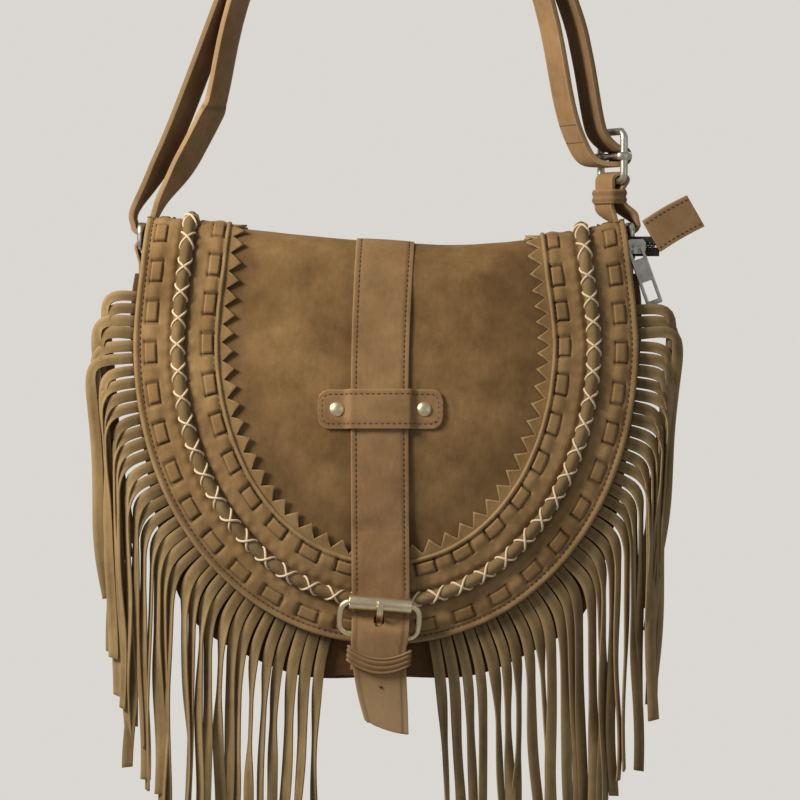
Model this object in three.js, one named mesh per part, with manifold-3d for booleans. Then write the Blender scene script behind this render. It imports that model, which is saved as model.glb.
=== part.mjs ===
// A fringed suede shoulder bag: a saddle-shaped bag with a U-shaped flap, a fringe, a buckled front strap
// and a shoulder strap, hanging from the top of that strap. Units are millimetres.
// +Z is up and -Y is the front.
// The origin is the hanging point: the underside of the strap's arch.
import * as THREE from "three";
import { mergeVertices } from "three/addons/utils/BufferGeometryUtils.js";
import Module from "manifold-3d";

const wasm = await Module();
wasm.setup();

// ---------------------------------------------------------------- driving dimensions
const HANG = 400; // hanging point to the flap's top line
const GAP = 0.3; // between pieces that touch
const LEATHER = 2; // thickness of the body and flap leather

// Body
const BACK_Y = 26; // outer face of the flat back
const BODY_TOP = -24; // top of the gusset and the front panel
const BODY_BOTTOM = -266;
const BODY_HALF_BOTTOM = 50; // half the straight bottom edge

// Flap: a U outline, straight arms above an ellipse
const FLAP_HALF_WIDTH = 152;
const FLAP_HALF_HEIGHT = 184;
const FLAP_CENTRE_Z = -60;
const FLAP_ARM_NARROWING = 12; // each arm moves in by this much from the ellipse up to the fold
const FOLD_RADIUS = 24;
const FOLD_CENTRE = { y: 4.6, z: -18 };
const FLAP_BACK_END = -48; // where the flap ends on the back
const FLAP_TOP = FOLD_CENTRE.z + FOLD_RADIUS;
const FOLD_STEPS = 12;

// Flap layers: inset from the flap's edge, and height over its face
const BORDER = { from: 0, to: 52, low: 1.5, high: 2.9 };
const TRIM = { from: 48, root: 54, tip: 61, low: GAP, high: 1.2, pitch: 11 };
const LACE_WIDTH = 6.6;
const LACE_INSETS = [10.5, 45.5];
const LACE = { low: 3.2, high: 4.1 };
const CORD = { inset: 27, width: 7.4, low: 3.2, high: 6.2 };

// Fringe
const FRINGE_TOP = -48; // where the strands leave the arms
const FRINGE_HALF_WIDTH = 173;
const FRINGE_SIDE_END = -228; // strand ends at the sides
const FRINGE_BOTTOM = -411; // strand ends in the middle
const FRINGE_GAP = { x: -4.5, half: 28 }; // free width behind the front strap

// Front strap and its fastening
const STRAP_WIDTH = 34.4;
const STRAP_THICK = 2.4;
const STRAP_END = -298;
const TAB = { x: -3.2, z: -104.4, length: 75, width: 23, thick: 1.8, corner: 6.5 };
const RIVET = { spacing: 52, cap: 4.5, shank: 1.5, dome: 2 };
const BUCKLE = { x: -3, z: -219, y: -52.2, tilt: 4.5, width: 44, height: 20, wire: 1.8, lean: 4.5 };
const ROLLER = { radius: 4.3, bore: 2.15, length: 37.4 };
const TONGUE_WIDTH = 3.6;

// Zip
const ZIP = { y: -5.5, z: -7, slit: 0.6, tape: 0.5, left: -138, right: 166 };
const SLIDER_X = 151;
const PULLER = { length: 36, width: 10, thick: 1.6, lean: 20, pin: 0.8, y: -9.7, z: -1.4 };
const END_TAB = { x: 161, z: -1, length: 31, width: 21.8, thick: 4.2, tilt: 30 };

// Shoulder strap
const BAND = { width: 24, thick: 3, y: 14.5 };
const RING = { x: 149.5, z: -1, width: 30.4, height: 13, corner: 4, wire: 2.1, play: 1.5 };
const BIGHT_RISE = 0.6; // middle of a leather bight over the ring bar it pulls on
const SLIDE_BUCKLE = { x: 139, z: 48, width: 30, height: 30, corner: 3.5, wire: 2.2, turn: 23 };
const RING_TAB = { width: 18, thick: 3.2, bottom: -46 };
const SHORT_STRAP = { width: 22, thick: 2.2, play: 1.2 };

// ---------------------------------------------------------------- finishes
const finish = (color, roughness, metalness = 0) =>
  new THREE.MeshStandardMaterial({ color, roughness, metalness });
const SUEDE = finish(0x8f7150, 0.9);
const SUEDE_DARK = finish(0x6b5236, 0.9);
const STRAP_LEATHER = finish(0x947556, 0.8);
const FRINGE_SUEDE = finish(0x857048, 0.95);
const BRASS = finish(0xd2c6a0, 0.35, 1);
const NICKEL = finish(0xbfb8aa, 0.35, 1);
const TAPE = finish(0x2a2420, 0.9);

// ---------------------------------------------------------------- solids
// A closed geometry as a solid for joining and cutting.
function solid(geometry) {
  const bare = geometry.clone();
  bare.deleteAttribute("normal");
  bare.deleteAttribute("uv");
  const merged = mergeVertices(bare, 1e-3);
  return new wasm.Manifold(
    new wasm.Mesh({
      numProp: 3,
      vertProperties: merged.attributes.position.array,
      triVerts: new Uint32Array(merged.index.array),
    }),
  );
}

function geometryOf(made) {
  const mesh = made.getMesh();
  const geometry = new THREE.BufferGeometry();
  geometry.setAttribute("position", new THREE.BufferAttribute(mesh.vertProperties, 3));
  geometry.setIndex(new THREE.BufferAttribute(mesh.triVerts, 1));
  const flat = geometry.toNonIndexed();
  flat.computeVertexNormals();
  return flat;
}

const shapeOf = (points) => new THREE.Shape(points.map(([u, v]) => new THREE.Vector2(u, v)));

// An XZ outline extruded along Y.
function prismY(shape, low, high) {
  const geometry = new THREE.ExtrudeGeometry(shape, { depth: high - low, bevelEnabled: false });
  return geometry.rotateX(Math.PI / 2).translate(0, high, 0);
}

// A YZ profile extruded along X.
function prismX(shape, low, high) {
  const geometry = new THREE.ExtrudeGeometry(shape, { depth: high - low, bevelEnabled: false });
  const turn = new THREE.Matrix4().makeBasis(
    new THREE.Vector3(0, 1, 0),
    new THREE.Vector3(0, 0, 1),
    new THREE.Vector3(1, 0, 0),
  );
  return geometry.applyMatrix4(turn).translate(low, 0, 0);
}

function box(low, high) {
  const size = high.map((value, i) => value - low[i]);
  const geometry = new THREE.BoxGeometry(...size);
  return solid(geometry.translate(low[0] + size[0] / 2, low[1] + size[1] / 2, low[2] + size[2] / 2));
}

// A round bar along X (axis 0), Y (axis 1) or Z (axis 2), centred on a point.
function bar(radius, length, axis, [x, y, z], sides = 20) {
  const geometry = new THREE.CylinderGeometry(radius, radius, length, sides);
  if (axis === 0) geometry.rotateZ(Math.PI / 2);
  if (axis === 2) geometry.rotateX(Math.PI / 2);
  return solid(geometry.translate(x, y, z));
}

// A loop of wire: a rectangle with round corners in the XZ plane, around the origin.
class RoundedLoop extends THREE.Curve {
  constructor(width, height, corner) {
    super();
    this.half = [width / 2 - corner, height / 2 - corner];
    this.corner = corner;
  }
  getPoint(t, target = new THREE.Vector3()) {
    const [a, c] = this.half;
    const arc = (Math.PI / 2) * this.corner;
    const runs = [2 * a, arc, 2 * c, arc, 2 * a, arc, 2 * c, arc];
    let left = (((t % 1) + 1) % 1) * runs.reduce((sum, run) => sum + run, 0);
    let i = 0;
    while (i < 7 && left > runs[i]) {
      left -= runs[i];
      i += 1;
    }
    const corners = [[a, c], [a, -c], [-a, -c], [-a, c]];
    const side = Math.floor(i / 2);
    const angle = Math.PI / 2 - side * (Math.PI / 2);
    const [x, z] = corners[side];
    if (i % 2 === 0) {
      const back = runs[i] - left;
      return target.set(
        x + Math.cos(angle) * this.corner - Math.sin(angle) * back,
        0,
        z + Math.sin(angle) * this.corner + Math.cos(angle) * back,
      );
    }
    const turned = angle - left / this.corner;
    return target.set(x + Math.cos(turned) * this.corner, 0, z + Math.sin(turned) * this.corner);
  }
}

const wireLoop = (width, height, corner, wire) =>
  new THREE.TubeGeometry(new RoundedLoop(width, height, corner), 44, wire, 8, true);

// Points of an arc in the XZ plane, from one angle to another in degrees.
function arc([x, z], radius, from, to, count = 5) {
  return Array.from({ length: count }, (_, i) => {
    const angle = ((from + ((to - from) * i) / (count - 1)) * Math.PI) / 180;
    return [x + radius * Math.cos(angle), z + radius * Math.sin(angle)];
  });
}

// A flat band along a closed path in the XZ plane. Its width runs across the path, turned about Z.
function closedBand(points, width, thick, turn) {
  const curve = new THREE.CatmullRomCurve3(
    points.map(([x, z]) => new THREE.Vector3(x, 0, z)),
    true,
    "centripetal",
  );
  const vertices = [];
  const steps = 2 * points.length;
  for (let i = 0; i < steps; i += 1) {
    const at = curve.getPoint(i / steps);
    const along = curve.getTangent(i / steps);
    const normal = new THREE.Vector3(-along.z, 0, along.x);
    const angle = turn(at);
    const across = new THREE.Vector3(Math.sin(angle), Math.cos(angle), 0);
    for (const [side, face] of [[-1, -1], [1, -1], [1, 1], [-1, 1]]) {
      const corner = at
        .clone()
        .addScaledVector(across, (side * width) / 2)
        .addScaledVector(normal, (face * thick) / 2);
      vertices.push(corner.x, corner.y, corner.z);
    }
  }
  const index = [];
  for (let i = 0; i < steps; i += 1) {
    const next = (i + 1) % steps;
    for (let k = 0; k < 4; k += 1) {
      const a = 4 * i + k;
      const b = 4 * i + ((k + 1) % 4);
      const c = 4 * next + ((k + 1) % 4);
      const d = 4 * next + k;
      index.push(a, b, c, a, c, d);
    }
  }
  const geometry = new THREE.BufferGeometry();
  geometry.setAttribute("position", new THREE.Float32BufferAttribute(vertices, 3));
  geometry.setIndex(index);
  return geometry;
}

// ---------------------------------------------------------------- the flap's face
// Half the flap's width at a height above the ellipse's centre.
function armHalfWidth(z) {
  const rise = (z - FLAP_CENTRE_Z) / (FLAP_TOP - FLAP_CENTRE_Z);
  return FLAP_HALF_WIDTH - FLAP_ARM_NARROWING * Math.max(0, Math.min(rise, 1)) ** 2;
}

// The U line at an inset from the flap's edge, from the left arm's top round to the right arm's top.
function uLine(inset, steps = 36, top = 20) {
  const left = [];
  const rows = 5;
  for (let i = 0; i < rows; i += 1) {
    const z = top + ((FLAP_CENTRE_Z - top) * i) / rows;
    left.push([-(armHalfWidth(z) - inset), z]);
  }
  const round = [];
  for (let i = 0; i <= steps; i += 1) {
    const angle = Math.PI + (Math.PI * i) / steps;
    round.push([
      (FLAP_HALF_WIDTH - inset) * Math.cos(angle),
      FLAP_CENTRE_Z + (FLAP_HALF_HEIGHT - inset * 0.98) * Math.sin(angle),
    ]);
  }
  const right = left.map(([x, z]) => [-x, z]).reverse();
  return [...left, ...round, ...right];
}

const uRing = (from, to) => shapeOf([...uLine(from), ...uLine(to).reverse()]);

// The flap's outer face in YZ: up the back, over the fold, and down the bulging front.
function faceProfile() {
  const points = [];
  const backY = FOLD_CENTRE.y + FOLD_RADIUS;
  points.push([backY, FLAP_BACK_END]);
  for (let i = 0; i <= FOLD_STEPS; i += 1) {
    const angle = (Math.PI * i) / FOLD_STEPS;
    const over = FOLD_RADIUS * Math.sin(angle);
    points.push([FOLD_CENTRE.y + FOLD_RADIUS * Math.cos(angle), FOLD_CENTRE.z + over]);
  }
  const front = new THREE.SplineCurve(
    [
      [FOLD_CENTRE.y - FOLD_RADIUS, FOLD_CENTRE.z],
      [-24.5, -52],
      [-35, -105],
      [-39.5, -160],
      [-38, -210],
      [-34.5, -246],
    ].map(([y, z]) => new THREE.Vector2(y, z)),
  );
  const rows = 14;
  for (let i = 1; i <= rows; i += 1) {
    const at = front.getPoint(i / rows);
    points.push([at.x, at.y]);
  }
  return points;
}

const FACE = faceProfile();

// A line at a height over the flap's face.
function faceOffset(height, points = FACE) {
  return points.map(([y, z], i) => {
    const [y0, z0] = points[Math.max(0, i - 1)];
    const [y1, z1] = points[Math.min(points.length - 1, i + 1)];
    const length = Math.hypot(y1 - y0, z1 - z0);
    return [y + ((z1 - z0) / length) * height, z - ((y1 - y0) / length) * height];
  });
}

function faceY(z) {
  const i = FACE.findIndex(([y, height], k) => k > FOLD_STEPS + 1 && height <= z);
  const [y0, z0] = FACE[i - 1];
  const [y1, z1] = FACE[i];
  return y0 + ((y1 - y0) * (z - z0)) / (z1 - z0);
}

const faceBand = (low, high) => shapeOf([...faceOffset(low), ...faceOffset(high).reverse()]);

// A layer of the flap: the stretch of the face between two heights, inside an XZ outline.
const layer = (outline, low, high) =>
  solid(prismX(faceBand(low, high), -200, 200)).intersect(solid(prismY(outline, -90, 60)));

// ---------------------------------------------------------------- body
// The right half of the body's outline, from its top down to the middle of the bottom.
function bodyHalf(inset) {
  const curve = new THREE.SplineCurve(
    [
      [154, -14],
      [155, -50],
      [147, -115],
      [134, -185],
      [117, -230],
      [86, -252],
      [BODY_HALF_BOTTOM, BODY_BOTTOM],
    ].map(([x, z]) => new THREE.Vector2(x, z)),
  );
  const rows = 20;
  const points = [];
  for (let i = 0; i <= rows; i += 1) {
    const at = curve.getPoint(i / rows);
    const along = curve.getTangent(i / rows);
    points.push([at.x + along.y * inset, at.y - along.x * inset]);
  }
  return points.map(([x, z]) => [x, Math.max(z, BODY_BOTTOM + inset)]);
}

function bodyOutline(inset, top) {
  const right = bodyHalf(inset).filter(([, z]) => z < top);
  const first = [right[0][0], top];
  const left = right.map(([x, z]) => [-x, z]).reverse();
  return [first, ...right, ...left, [-first[0], top]].reverse();
}

// The front panel's outer face in YZ: pinched to the zip, then full, then straight down.
const FRONT_FACE = [
  [-8.3, BODY_TOP + 3],
  [-9, -50],
  [-17, -80],
  [-24, -110],
  [-28.5, -140],
  [-30, -165],
  [-30, BODY_BOTTOM],
];

const thickened = (points, thick) =>
  shapeOf([...points, ...points.map(([y, z]) => [y + thick, z]).reverse()]);

function backPanel() {
  return solid(prismY(shapeOf(bodyOutline(0, -14)), BACK_Y - LEATHER, BACK_Y));
}

function frontPanel() {
  const face = solid(prismX(thickened(FRONT_FACE, LEATHER), -200, 200));
  return face.intersect(solid(prismY(shapeOf(bodyOutline(0, 0)), -60, 20)));
}

function gusset() {
  const outer = solid(prismY(shapeOf(bodyOutline(0.6, BODY_TOP)), -60, BACK_Y - LEATHER - GAP));
  const inner = solid(prismY(shapeOf(bodyOutline(0.6 + LEATHER, 0)), -61, 60));
  const inside = FRONT_FACE.map(([y, z]) => [y + LEATHER + GAP, z]);
  const depth = shapeOf([...inside, [40, BODY_BOTTOM], [40, BODY_TOP + 3]]);
  return outer.subtract(inner).intersect(solid(prismX(depth, -200, 200)));
}

// ---------------------------------------------------------------- zip
const tapeBox = (x0, x1, z0, z1) => box([x0, ZIP.y - ZIP.tape, z0], [x1, ZIP.y + ZIP.tape, z1]);

function zipTapeUpper() {
  const low = ZIP.z + ZIP.slit;
  const line = [
    [ZIP.y, low],
    [ZIP.y, low + 4.6],
    [ZIP.y + 1.6, low + 6],
    [6, low + 6.6],
    [16, low + 3.2],
    [21.5, -9],
    [23, -18],
    [23, -34],
  ];
  const outer = faceOffset(ZIP.tape, line);
  const inner = faceOffset(-ZIP.tape, line).reverse();
  const cover = solid(prismX(shapeOf([...outer, ...inner].reverse()), ZIP.left, 138));
  return cover.add(tapeBox(137, ZIP.right, low, low + 5.4));
}

function zipTapeLower() {
  const high = ZIP.z - ZIP.slit;
  return tapeBox(ZIP.left, 143, -34, high).add(tapeBox(142, ZIP.right, high - 5.4, high));
}

function zipSlider() {
  const depth = 2.4;
  const plan = [
    [-6.5, -3],
    [-6.5, 3],
    [-2, 4.4],
    [5, 4.4],
    [6.5, 2.6],
    [6.5, -2.6],
    [5, -4.4],
    [-2, -4.4],
  ];
  const plate = (y0, y1) => solid(prismY(shapeOf(plan), y0, y1));
  const front = plate(ZIP.y - depth, ZIP.y - ZIP.tape - GAP);
  const back = plate(ZIP.y + ZIP.tape + GAP, ZIP.y + depth);
  const neck = box([-3.5, ZIP.y - 1.5, -0.3], [3.5, ZIP.y + 1.5, 0.3]);
  const face = ZIP.y - depth;
  const lugZ = PULLER.z;
  const posts = [lugZ - 3, lugZ + 1.8].map((z) => box([-1.2, face - 4, z], [1.2, face + 0.2, z + 1.2]));
  const bridge = box([-1.2, face - 4, lugZ - 3], [1.2, face - 3.1, lugZ + 3]);
  return posts.reduce((sum, post) => sum.add(post), front.add(back).add(neck).add(bridge));
}

// The puller's pin passes under the slider's lug; its middle is the origin.
function zipPuller() {
  const { width, length, thick, pin } = PULLER;
  const half = width / 2;
  const outline = shapeOf([
    [-4.4, pin],
    [-half, -8],
    [-half, -length],
    [half, -length],
    [half, -8],
    [4.4, pin],
  ]);
  const hole = (x, low, high) => shapeOf([[-x, low], [-x, high], [x, high], [x, low]]);
  outline.holes.push(hole(2.9, -6.6, -pin), hole(2.6, 3 - length, 15 - length));
  return prismY(outline, -thick / 2, thick / 2);
}

function zipEndTab() {
  const { length, width, thick } = END_TAB;
  const outline = shapeOf([
    [0, -width / 2],
    [0, width / 2],
    [length - 2, width / 2],
    [length, width / 2 - 2],
    [length, 2 - width / 2],
    [length - 2, -width / 2],
  ]);
  const tab = prismY(outline, -thick / 2, thick / 2);
  tab.rotateY((-END_TAB.tilt * Math.PI) / 180).translate(END_TAB.x, ZIP.y, END_TAB.z);
  const room = ZIP.tape + GAP;
  const end = ZIP.right + GAP;
  return solid(tab).subtract(box([150, ZIP.y - room, ZIP.z - 7], [end, ZIP.y + room, ZIP.z + 7]));
}

// ---------------------------------------------------------------- flap and its layers
function flap() {
  const outline = shapeOf(uLine(0));
  return layer(outline, -LEATHER, 0).subtract(rivetHoles());
}

function zigzagTrim() {
  const outer = uLine(TRIM.from);
  const root = uLine(TRIM.root, 120);
  const tip = uLine(TRIM.tip, 120);
  const lengths = [0];
  for (let i = 1; i < root.length; i += 1) {
    lengths.push(lengths[i - 1] + Math.hypot(root[i][0] - root[i - 1][0], root[i][1] - root[i - 1][1]));
  }
  const total = lengths[lengths.length - 1];
  const teeth = Math.round(total / TRIM.pitch);
  const along = (line, distance) => {
    const i = Math.max(1, lengths.findIndex((length) => length >= distance - 1e-6));
    const share = (distance - lengths[i - 1]) / (lengths[i] - lengths[i - 1]);
    return [0, 1].map((k) => line[i - 1][k] + (line[i][k] - line[i - 1][k]) * share);
  };
  const edge = [];
  for (let i = 0; i < teeth; i += 1) {
    edge.push(along(root, (i * total) / teeth));
    edge.push(along(tip, ((i + 0.5) * total) / teeth));
  }
  edge.push(along(root, total));
  return layer(shapeOf([...outer, ...edge.reverse()]), TRIM.low, TRIM.high);
}

function lace(inset) {
  return layer(uRing(inset - LACE_WIDTH / 2, inset + LACE_WIDTH / 2), LACE.low, LACE.high);
}

function pipingCord() {
  return layer(uRing(CORD.inset - CORD.width / 2, CORD.inset + CORD.width / 2), CORD.low, CORD.high);
}

// One side's fringe as a plain curtain: from the flap's edge out, and down to the strands' ends.
function fringe(side) {
  const face = FACE.filter(([, z], i) => i > FOLD_STEPS && z < FRINGE_TOP + 12);
  const line = [...face, [-34.5, FRINGE_BOTTOM - 5]];
  const sheet = shapeOf([...faceOffset(2, line), ...faceOffset(-2, line).reverse()].reverse());
  const middle = side * FRINGE_GAP.half + FRINGE_GAP.x;
  const rows = 22;
  const ends = [];
  for (let i = 0; i <= rows; i += 1) {
    const x = middle + (side * FRINGE_HALF_WIDTH - middle) * (i / rows);
    const share = 1 - Math.abs(x / FRINGE_HALF_WIDTH) ** 1.7;
    ends.push([x, FRINGE_SIDE_END + (FRINGE_BOTTOM - FRINGE_SIDE_END) * share]);
  }
  const curtain = [
    [middle, -200],
    ...ends,
    [side * FRINGE_HALF_WIDTH, FRINGE_TOP - 14],
    [side * (FRINGE_HALF_WIDTH - 8), FRINGE_TOP],
    [side * 120, FRINGE_TOP],
  ];
  const outline = shapeOf(side > 0 ? curtain : curtain.reverse());
  const region = solid(prismY(outline, -60, 0)).subtract(solid(prismY(shapeOf(uLine(-GAP)), -61, 61)));
  return solid(prismX(sheet, -200, 200)).intersect(region);
}

// ---------------------------------------------------------------- front strap, tab and rivets
const TAB_PLACE = { y: faceY(TAB.z), slope: Math.atan2(faceY(TAB.z - 12) - faceY(TAB.z + 12), 24) };

// Puts a solid that was made round the tab's centre, facing -Y, on the flap's sloping face.
function onTabFace(made) {
  const slope = (TAB_PLACE.slope * 180) / Math.PI;
  return made.rotate([slope, 0, 0]).translate([TAB.x, TAB_PLACE.y, TAB.z]);
}

function rivetHoles() {
  const holes = [-1, 1].map((side) => bar(RIVET.shank + GAP, 20, 1, [(side * RIVET.spacing) / 2, 0, 0], 16));
  return onTabFace(holes[0].add(holes[1]));
}

function crossTab() {
  const half = TAB.length / 2;
  const low = 0.6;
  const over = STRAP_THICK + GAP + 0.7;
  const face = -low - TAB.thick;
  const bow = [
    [-half, -low],
    [-half, face],
    [-21.4, face],
    [-19.4, -over - TAB.thick],
    [19.4, -over - TAB.thick],
    [21.4, face],
    [half, face],
    [half, -low],
    [19.6, -low],
    [17.9, -over],
    [-17.9, -over],
    [-19.6, -low],
  ];
  const shape = shapeOf(bow.reverse());
  const bent = new THREE.ExtrudeGeometry(shape, { depth: TAB.width, bevelEnabled: false });
  bent.translate(0, 0, -TAB.width / 2);
  const c = TAB.corner;
  const w = TAB.width / 2;
  const outline = shapeOf([
    [half, -w + c],
    [half, w - c],
    [half - c, w],
    [c - half, w],
    [-half, w - c],
    [-half, -w + c],
    [c - half, -w],
    [half - c, -w],
  ]);
  const cut = solid(bent).intersect(solid(prismY(outline, -20, 20)));
  return onTabFace(cut).subtract(rivetHoles());
}

function rivet(side) {
  const cap = RIVET.cap;
  const seat = 0.6 + TAB.thick + GAP;
  const profile = [
    [0, -LEATHER - 1.5],
    [cap - 1, -LEATHER - 1.5],
    [cap - 1, -LEATHER - 0.6],
    [RIVET.shank, -LEATHER - 0.6],
    [RIVET.shank, seat],
    [cap, seat],
    [cap * 0.93, seat + RIVET.dome * 0.5],
    [cap * 0.6, seat + RIVET.dome * 0.85],
    [0, seat + RIVET.dome],
  ].map(([r, h]) => new THREE.Vector2(r, h));
  const turned = solid(new THREE.LatheGeometry(profile, 24)).rotate([180, 0, 0]);
  return onTabFace(turned.translate([(side * RIVET.spacing) / 2, 0, 0]));
}

// The front strap's inner face in YZ, up the back, over the flap, behind the roller and down to the cut end.
function frontStrapLine() {
  const over = faceOffset(GAP).filter(([, z], i) => i <= FOLD_STEPS || z > -172);
  const free = new THREE.SplineCurve(
    [
      [-39.7, -176],
      [-43.6, -193],
      [-45, -206],
      [-44.9, -220],
      [-46.4, -226],
      [-49.8, -231],
      [-52.2, -236],
      [-52.4, -246],
      [-51.6, -262],
      [-51, -280],
      [-53.5, STRAP_END - 6],
    ].map(([y, z]) => new THREE.Vector2(y, z)),
  );
  return [...over, ...free.getPoints(34).map((at) => [at.x, at.y])];
}

function frontStrap() {
  const line = frontStrapLine();
  const outer = faceOffset(STRAP_THICK, line);
  const bent = solid(prismX(shapeOf([...line, ...outer.reverse()]), -60, 60));
  const half = STRAP_WIDTH / 2;
  const outline = shapeOf([
    [0.6 - half, 20],
    [-3.4 - half, -50],
    [-3.6 - half, -150],
    [-3 - half, -226],
    [-4.2 - 16.2, -243],
    [-4 - 16.2, -262],
    [-17, -280],
    [-12, STRAP_END + 4],
    [0, STRAP_END - 1],
    [12.5, STRAP_END - 5],
    [11.8, -262],
    [-4.4 + 16.2, -243],
    [-3 + half, -226],
    [-3.6 + half, -150],
    [-3.4 + half, -50],
    [0.6 + half, 20],
  ]);
  const cut = bent.intersect(solid(prismY(outline, -90, 60)));
  const tongueHole = box([BUCKLE.x - 3.6, -60, -237], [BUCKLE.x + 2, -40, -225]);
  const spareHole = bar(1.6, 30, 1, [BUCKLE.x, -50, -272], 12);
  return cut.subtract(tongueHole).subtract(spareHole);
}

// ---------------------------------------------------------------- front buckle
// Its pieces are made round the roller's axis.
const FRAME_LEAN = Math.atan2(BUCKLE.lean, BUCKLE.height);
const HEEL = { y: BUCKLE.height * Math.sin(FRAME_LEAN), z: -BUCKLE.height * Math.cos(FRAME_LEAN) };

function buckleFrame() {
  const loop = wireLoop(BUCKLE.width, BUCKLE.height, 4.5, BUCKLE.wire);
  loop.translate(0, 0, -BUCKLE.height / 2);
  return solid(loop.rotateX(FRAME_LEAN));
}

function buckleRoller() {
  const { radius, bore, length } = ROLLER;
  const profile = [
    [bore, -length / 2],
    [radius - 0.5, -length / 2],
    [radius, 0.5 - length / 2],
    [radius, length / 2 - 0.5],
    [radius - 0.5, length / 2],
    [bore, length / 2],
    [bore, -length / 2],
  ].map(([r, h]) => new THREE.Vector2(r, h));
  return new THREE.LatheGeometry(profile, 28).rotateZ(-Math.PI / 2);
}

function buckleTongue() {
  const outer = 3.4;
  const line = [
    [HEEL.y - 1.4, HEEL.z + 1],
    [HEEL.y - 1.6, -15.5],
    [-1.4, -9.5],
    [-5.3, -4.5],
    [-5.6, 2.6],
  ];
  const left = faceOffset(0.9, line);
  const right = faceOffset(-0.9, line).reverse();
  const blade = prismX(shapeOf([...left, ...right].reverse()), -TONGUE_WIDTH / 2, TONGUE_WIDTH / 2);
  const eye = bar(outer, TONGUE_WIDTH, 0, [0, HEEL.y, HEEL.z], 24);
  return eye.add(solid(blade)).subtract(bar(BUCKLE.wire + 0.4, 20, 0, [0, HEEL.y, HEEL.z], 20));
}

function buckleChape() {
  const line = [
    [20.5, -43.5],
    [20.2, -35],
    [16.5, -31.5],
    [11.8, -28.5],
    [8.4, -25.5],
    [HEEL.y + 1.8, HEEL.z - 1.8],
  ];
  const left = faceOffset(1.4, line);
  const right = faceOffset(-1.4, line).reverse();
  const strip = prismX(shapeOf([...left, ...right].reverse()), -15, 15);
  const eye = bar(3.8, 30, 0, [0, HEEL.y, HEEL.z], 24);
  const slot = box([-2.4, -20, HEEL.z - 5.5], [2.4, 20, 10]);
  const hole = bar(BUCKLE.wire + 0.4, 40, 0, [0, HEEL.y, HEEL.z], 20);
  return solid(strip).add(eye).subtract(slot).subtract(hole);
}

function buckleKeeper() {
  const outer = box([-17.8, -5, -42], [20.6, 3.2, -26.5]);
  const inner = box([-16.2, -3.6, -43], [19, 1.7, -25]);
  return outer.subtract(inner);
}

// ---------------------------------------------------------------- rings, tabs and straps
const degrees = Math.PI / 180;

function dRing() {
  const ring = wireLoop(RING.width, RING.height, RING.corner, RING.wire);
  return ring.rotateZ(Math.PI / 2);
}

function ringTab() {
  const low = RING.z - RING.height / 2;
  const eye = bar(RING.wire + 0.4 + 1.8, RING_TAB.width, 1, [0, 0, low], 20);
  const half = RING_TAB.thick / 2;
  const strip = box([-half, -RING_TAB.width / 2, RING_TAB.bottom], [half, RING_TAB.width / 2, low - 2.8]);
  const hole = bar(RING.wire + 0.4, 40, 1, [0, 0, low], 20);
  return eye.add(strip).subtract(hole);
}

function slideBuckle() {
  const { width, height, corner, wire } = SLIDE_BUCKLE;
  const loop = solid(wireLoop(width, height, corner, wire).rotateZ(Math.PI / 2));
  return loop.add(bar(wire - 0.1, width, 1, [0, 0, 0], 12));
}

// The turned direction of a band's width: none at the arch, most along the hanging strands.
function strapTurn(at) {
  const share = Math.min(1, Math.max(0, (HANG - 20 - at.z) / 120));
  const near = at.x < 0 ? Math.min(1, Math.max(0, (at.z - 8) / 40)) : 1;
  return -Math.sign(at.x) * SLIDE_BUCKLE.turn * degrees * share * near;
}

function shoulderStrap() {
  const bend = RING.wire + RING.play + BAND.thick / 2;
  const leftBight = [-RING.x, RING.z + RING.height / 2 + BIGHT_RISE];
  const rightBend = SLIDE_BUCKLE.wire + 1.4 + BAND.thick / 2;
  const rightBight = [SLIDE_BUCKLE.x, SLIDE_BUCKLE.z];
  const points = [
    ...arc([0, HANG - 15.5], 20.6, 90, 160, 4),
    [-43, HANG - 65],
    [-72, 215],
    [-99, 141],
    [-126, 71],
    [-141, 38],
    [leftBight[0] - bend, leftBight[1] + 9],
    ...arc(leftBight, bend, 180, 360, 6),
    [-137, 23],
    [-118, 53],
    [-102, 92],
    [-87, 141],
    [-61, 215],
    [-33, HANG - 65],
    ...arc([0, HANG - 15.5], 17, 160, 20, 7),
    [35, HANG - 65],
    [68, 215],
    [94, 141],
    [108, 80],
    [117, 56],
    [125, 45],
    ...arc(rightBight, rightBend, 255, 460, 7),
    [131.5, 61],
    [127, 72],
    [118, 109],
    [108, 141],
    [79, 215],
    [45, HANG - 65],
    ...arc([0, HANG - 15.5], 20.6, 20, 66, 3),
  ];
  return closedBand(points, BAND.width, BAND.thick, strapTurn);
}

// The short loop from the slide buckle's lower bar to the right ring.
function shortStrap() {
  const { width, thick, play } = SHORT_STRAP;
  const barAt = [SLIDE_BUCKLE.x, SLIDE_BUCKLE.z - SLIDE_BUCKLE.height / 2];
  const barBend = SLIDE_BUCKLE.wire + play + thick / 2;
  const ringBend = RING.wire + RING.play + thick / 2;
  const ringAt = [RING.x, RING.z + RING.height / 2 + BIGHT_RISE];
  const points = [
    ...arc(barAt, barBend, 0, 180, 6),
    [133.6, 27],
    [133, 20],
    [136, 14.5],
    ...arc(ringAt, ringBend, 190, 370, 6),
    [147, 13],
    [140.6, 18],
    [140.6, 26],
  ];
  const turn = (at) => -SLIDE_BUCKLE.turn * degrees * Math.min(1, Math.max(0, (at.z - 7) / 8));
  return closedBand(points, width, thick, turn);
}

function shortStrapKeeper() {
  const outer = box([-6.8, -14.5, -4.5], [6.8, 14.5, 4.5]);
  const inner = box([-5.6, -13.3, -6], [5.6, 13.3, 6]);
  return outer.subtract(inner);
}

// ---------------------------------------------------------------- assembly
function piece(name, made, material) {
  const geometry = made.isBufferGeometry ? made : geometryOf(made);
  const mesh = new THREE.Mesh(geometry, material);
  mesh.name = name;
  return mesh;
}

const bag = new THREE.Group();
bag.position.z = -HANG;

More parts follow.
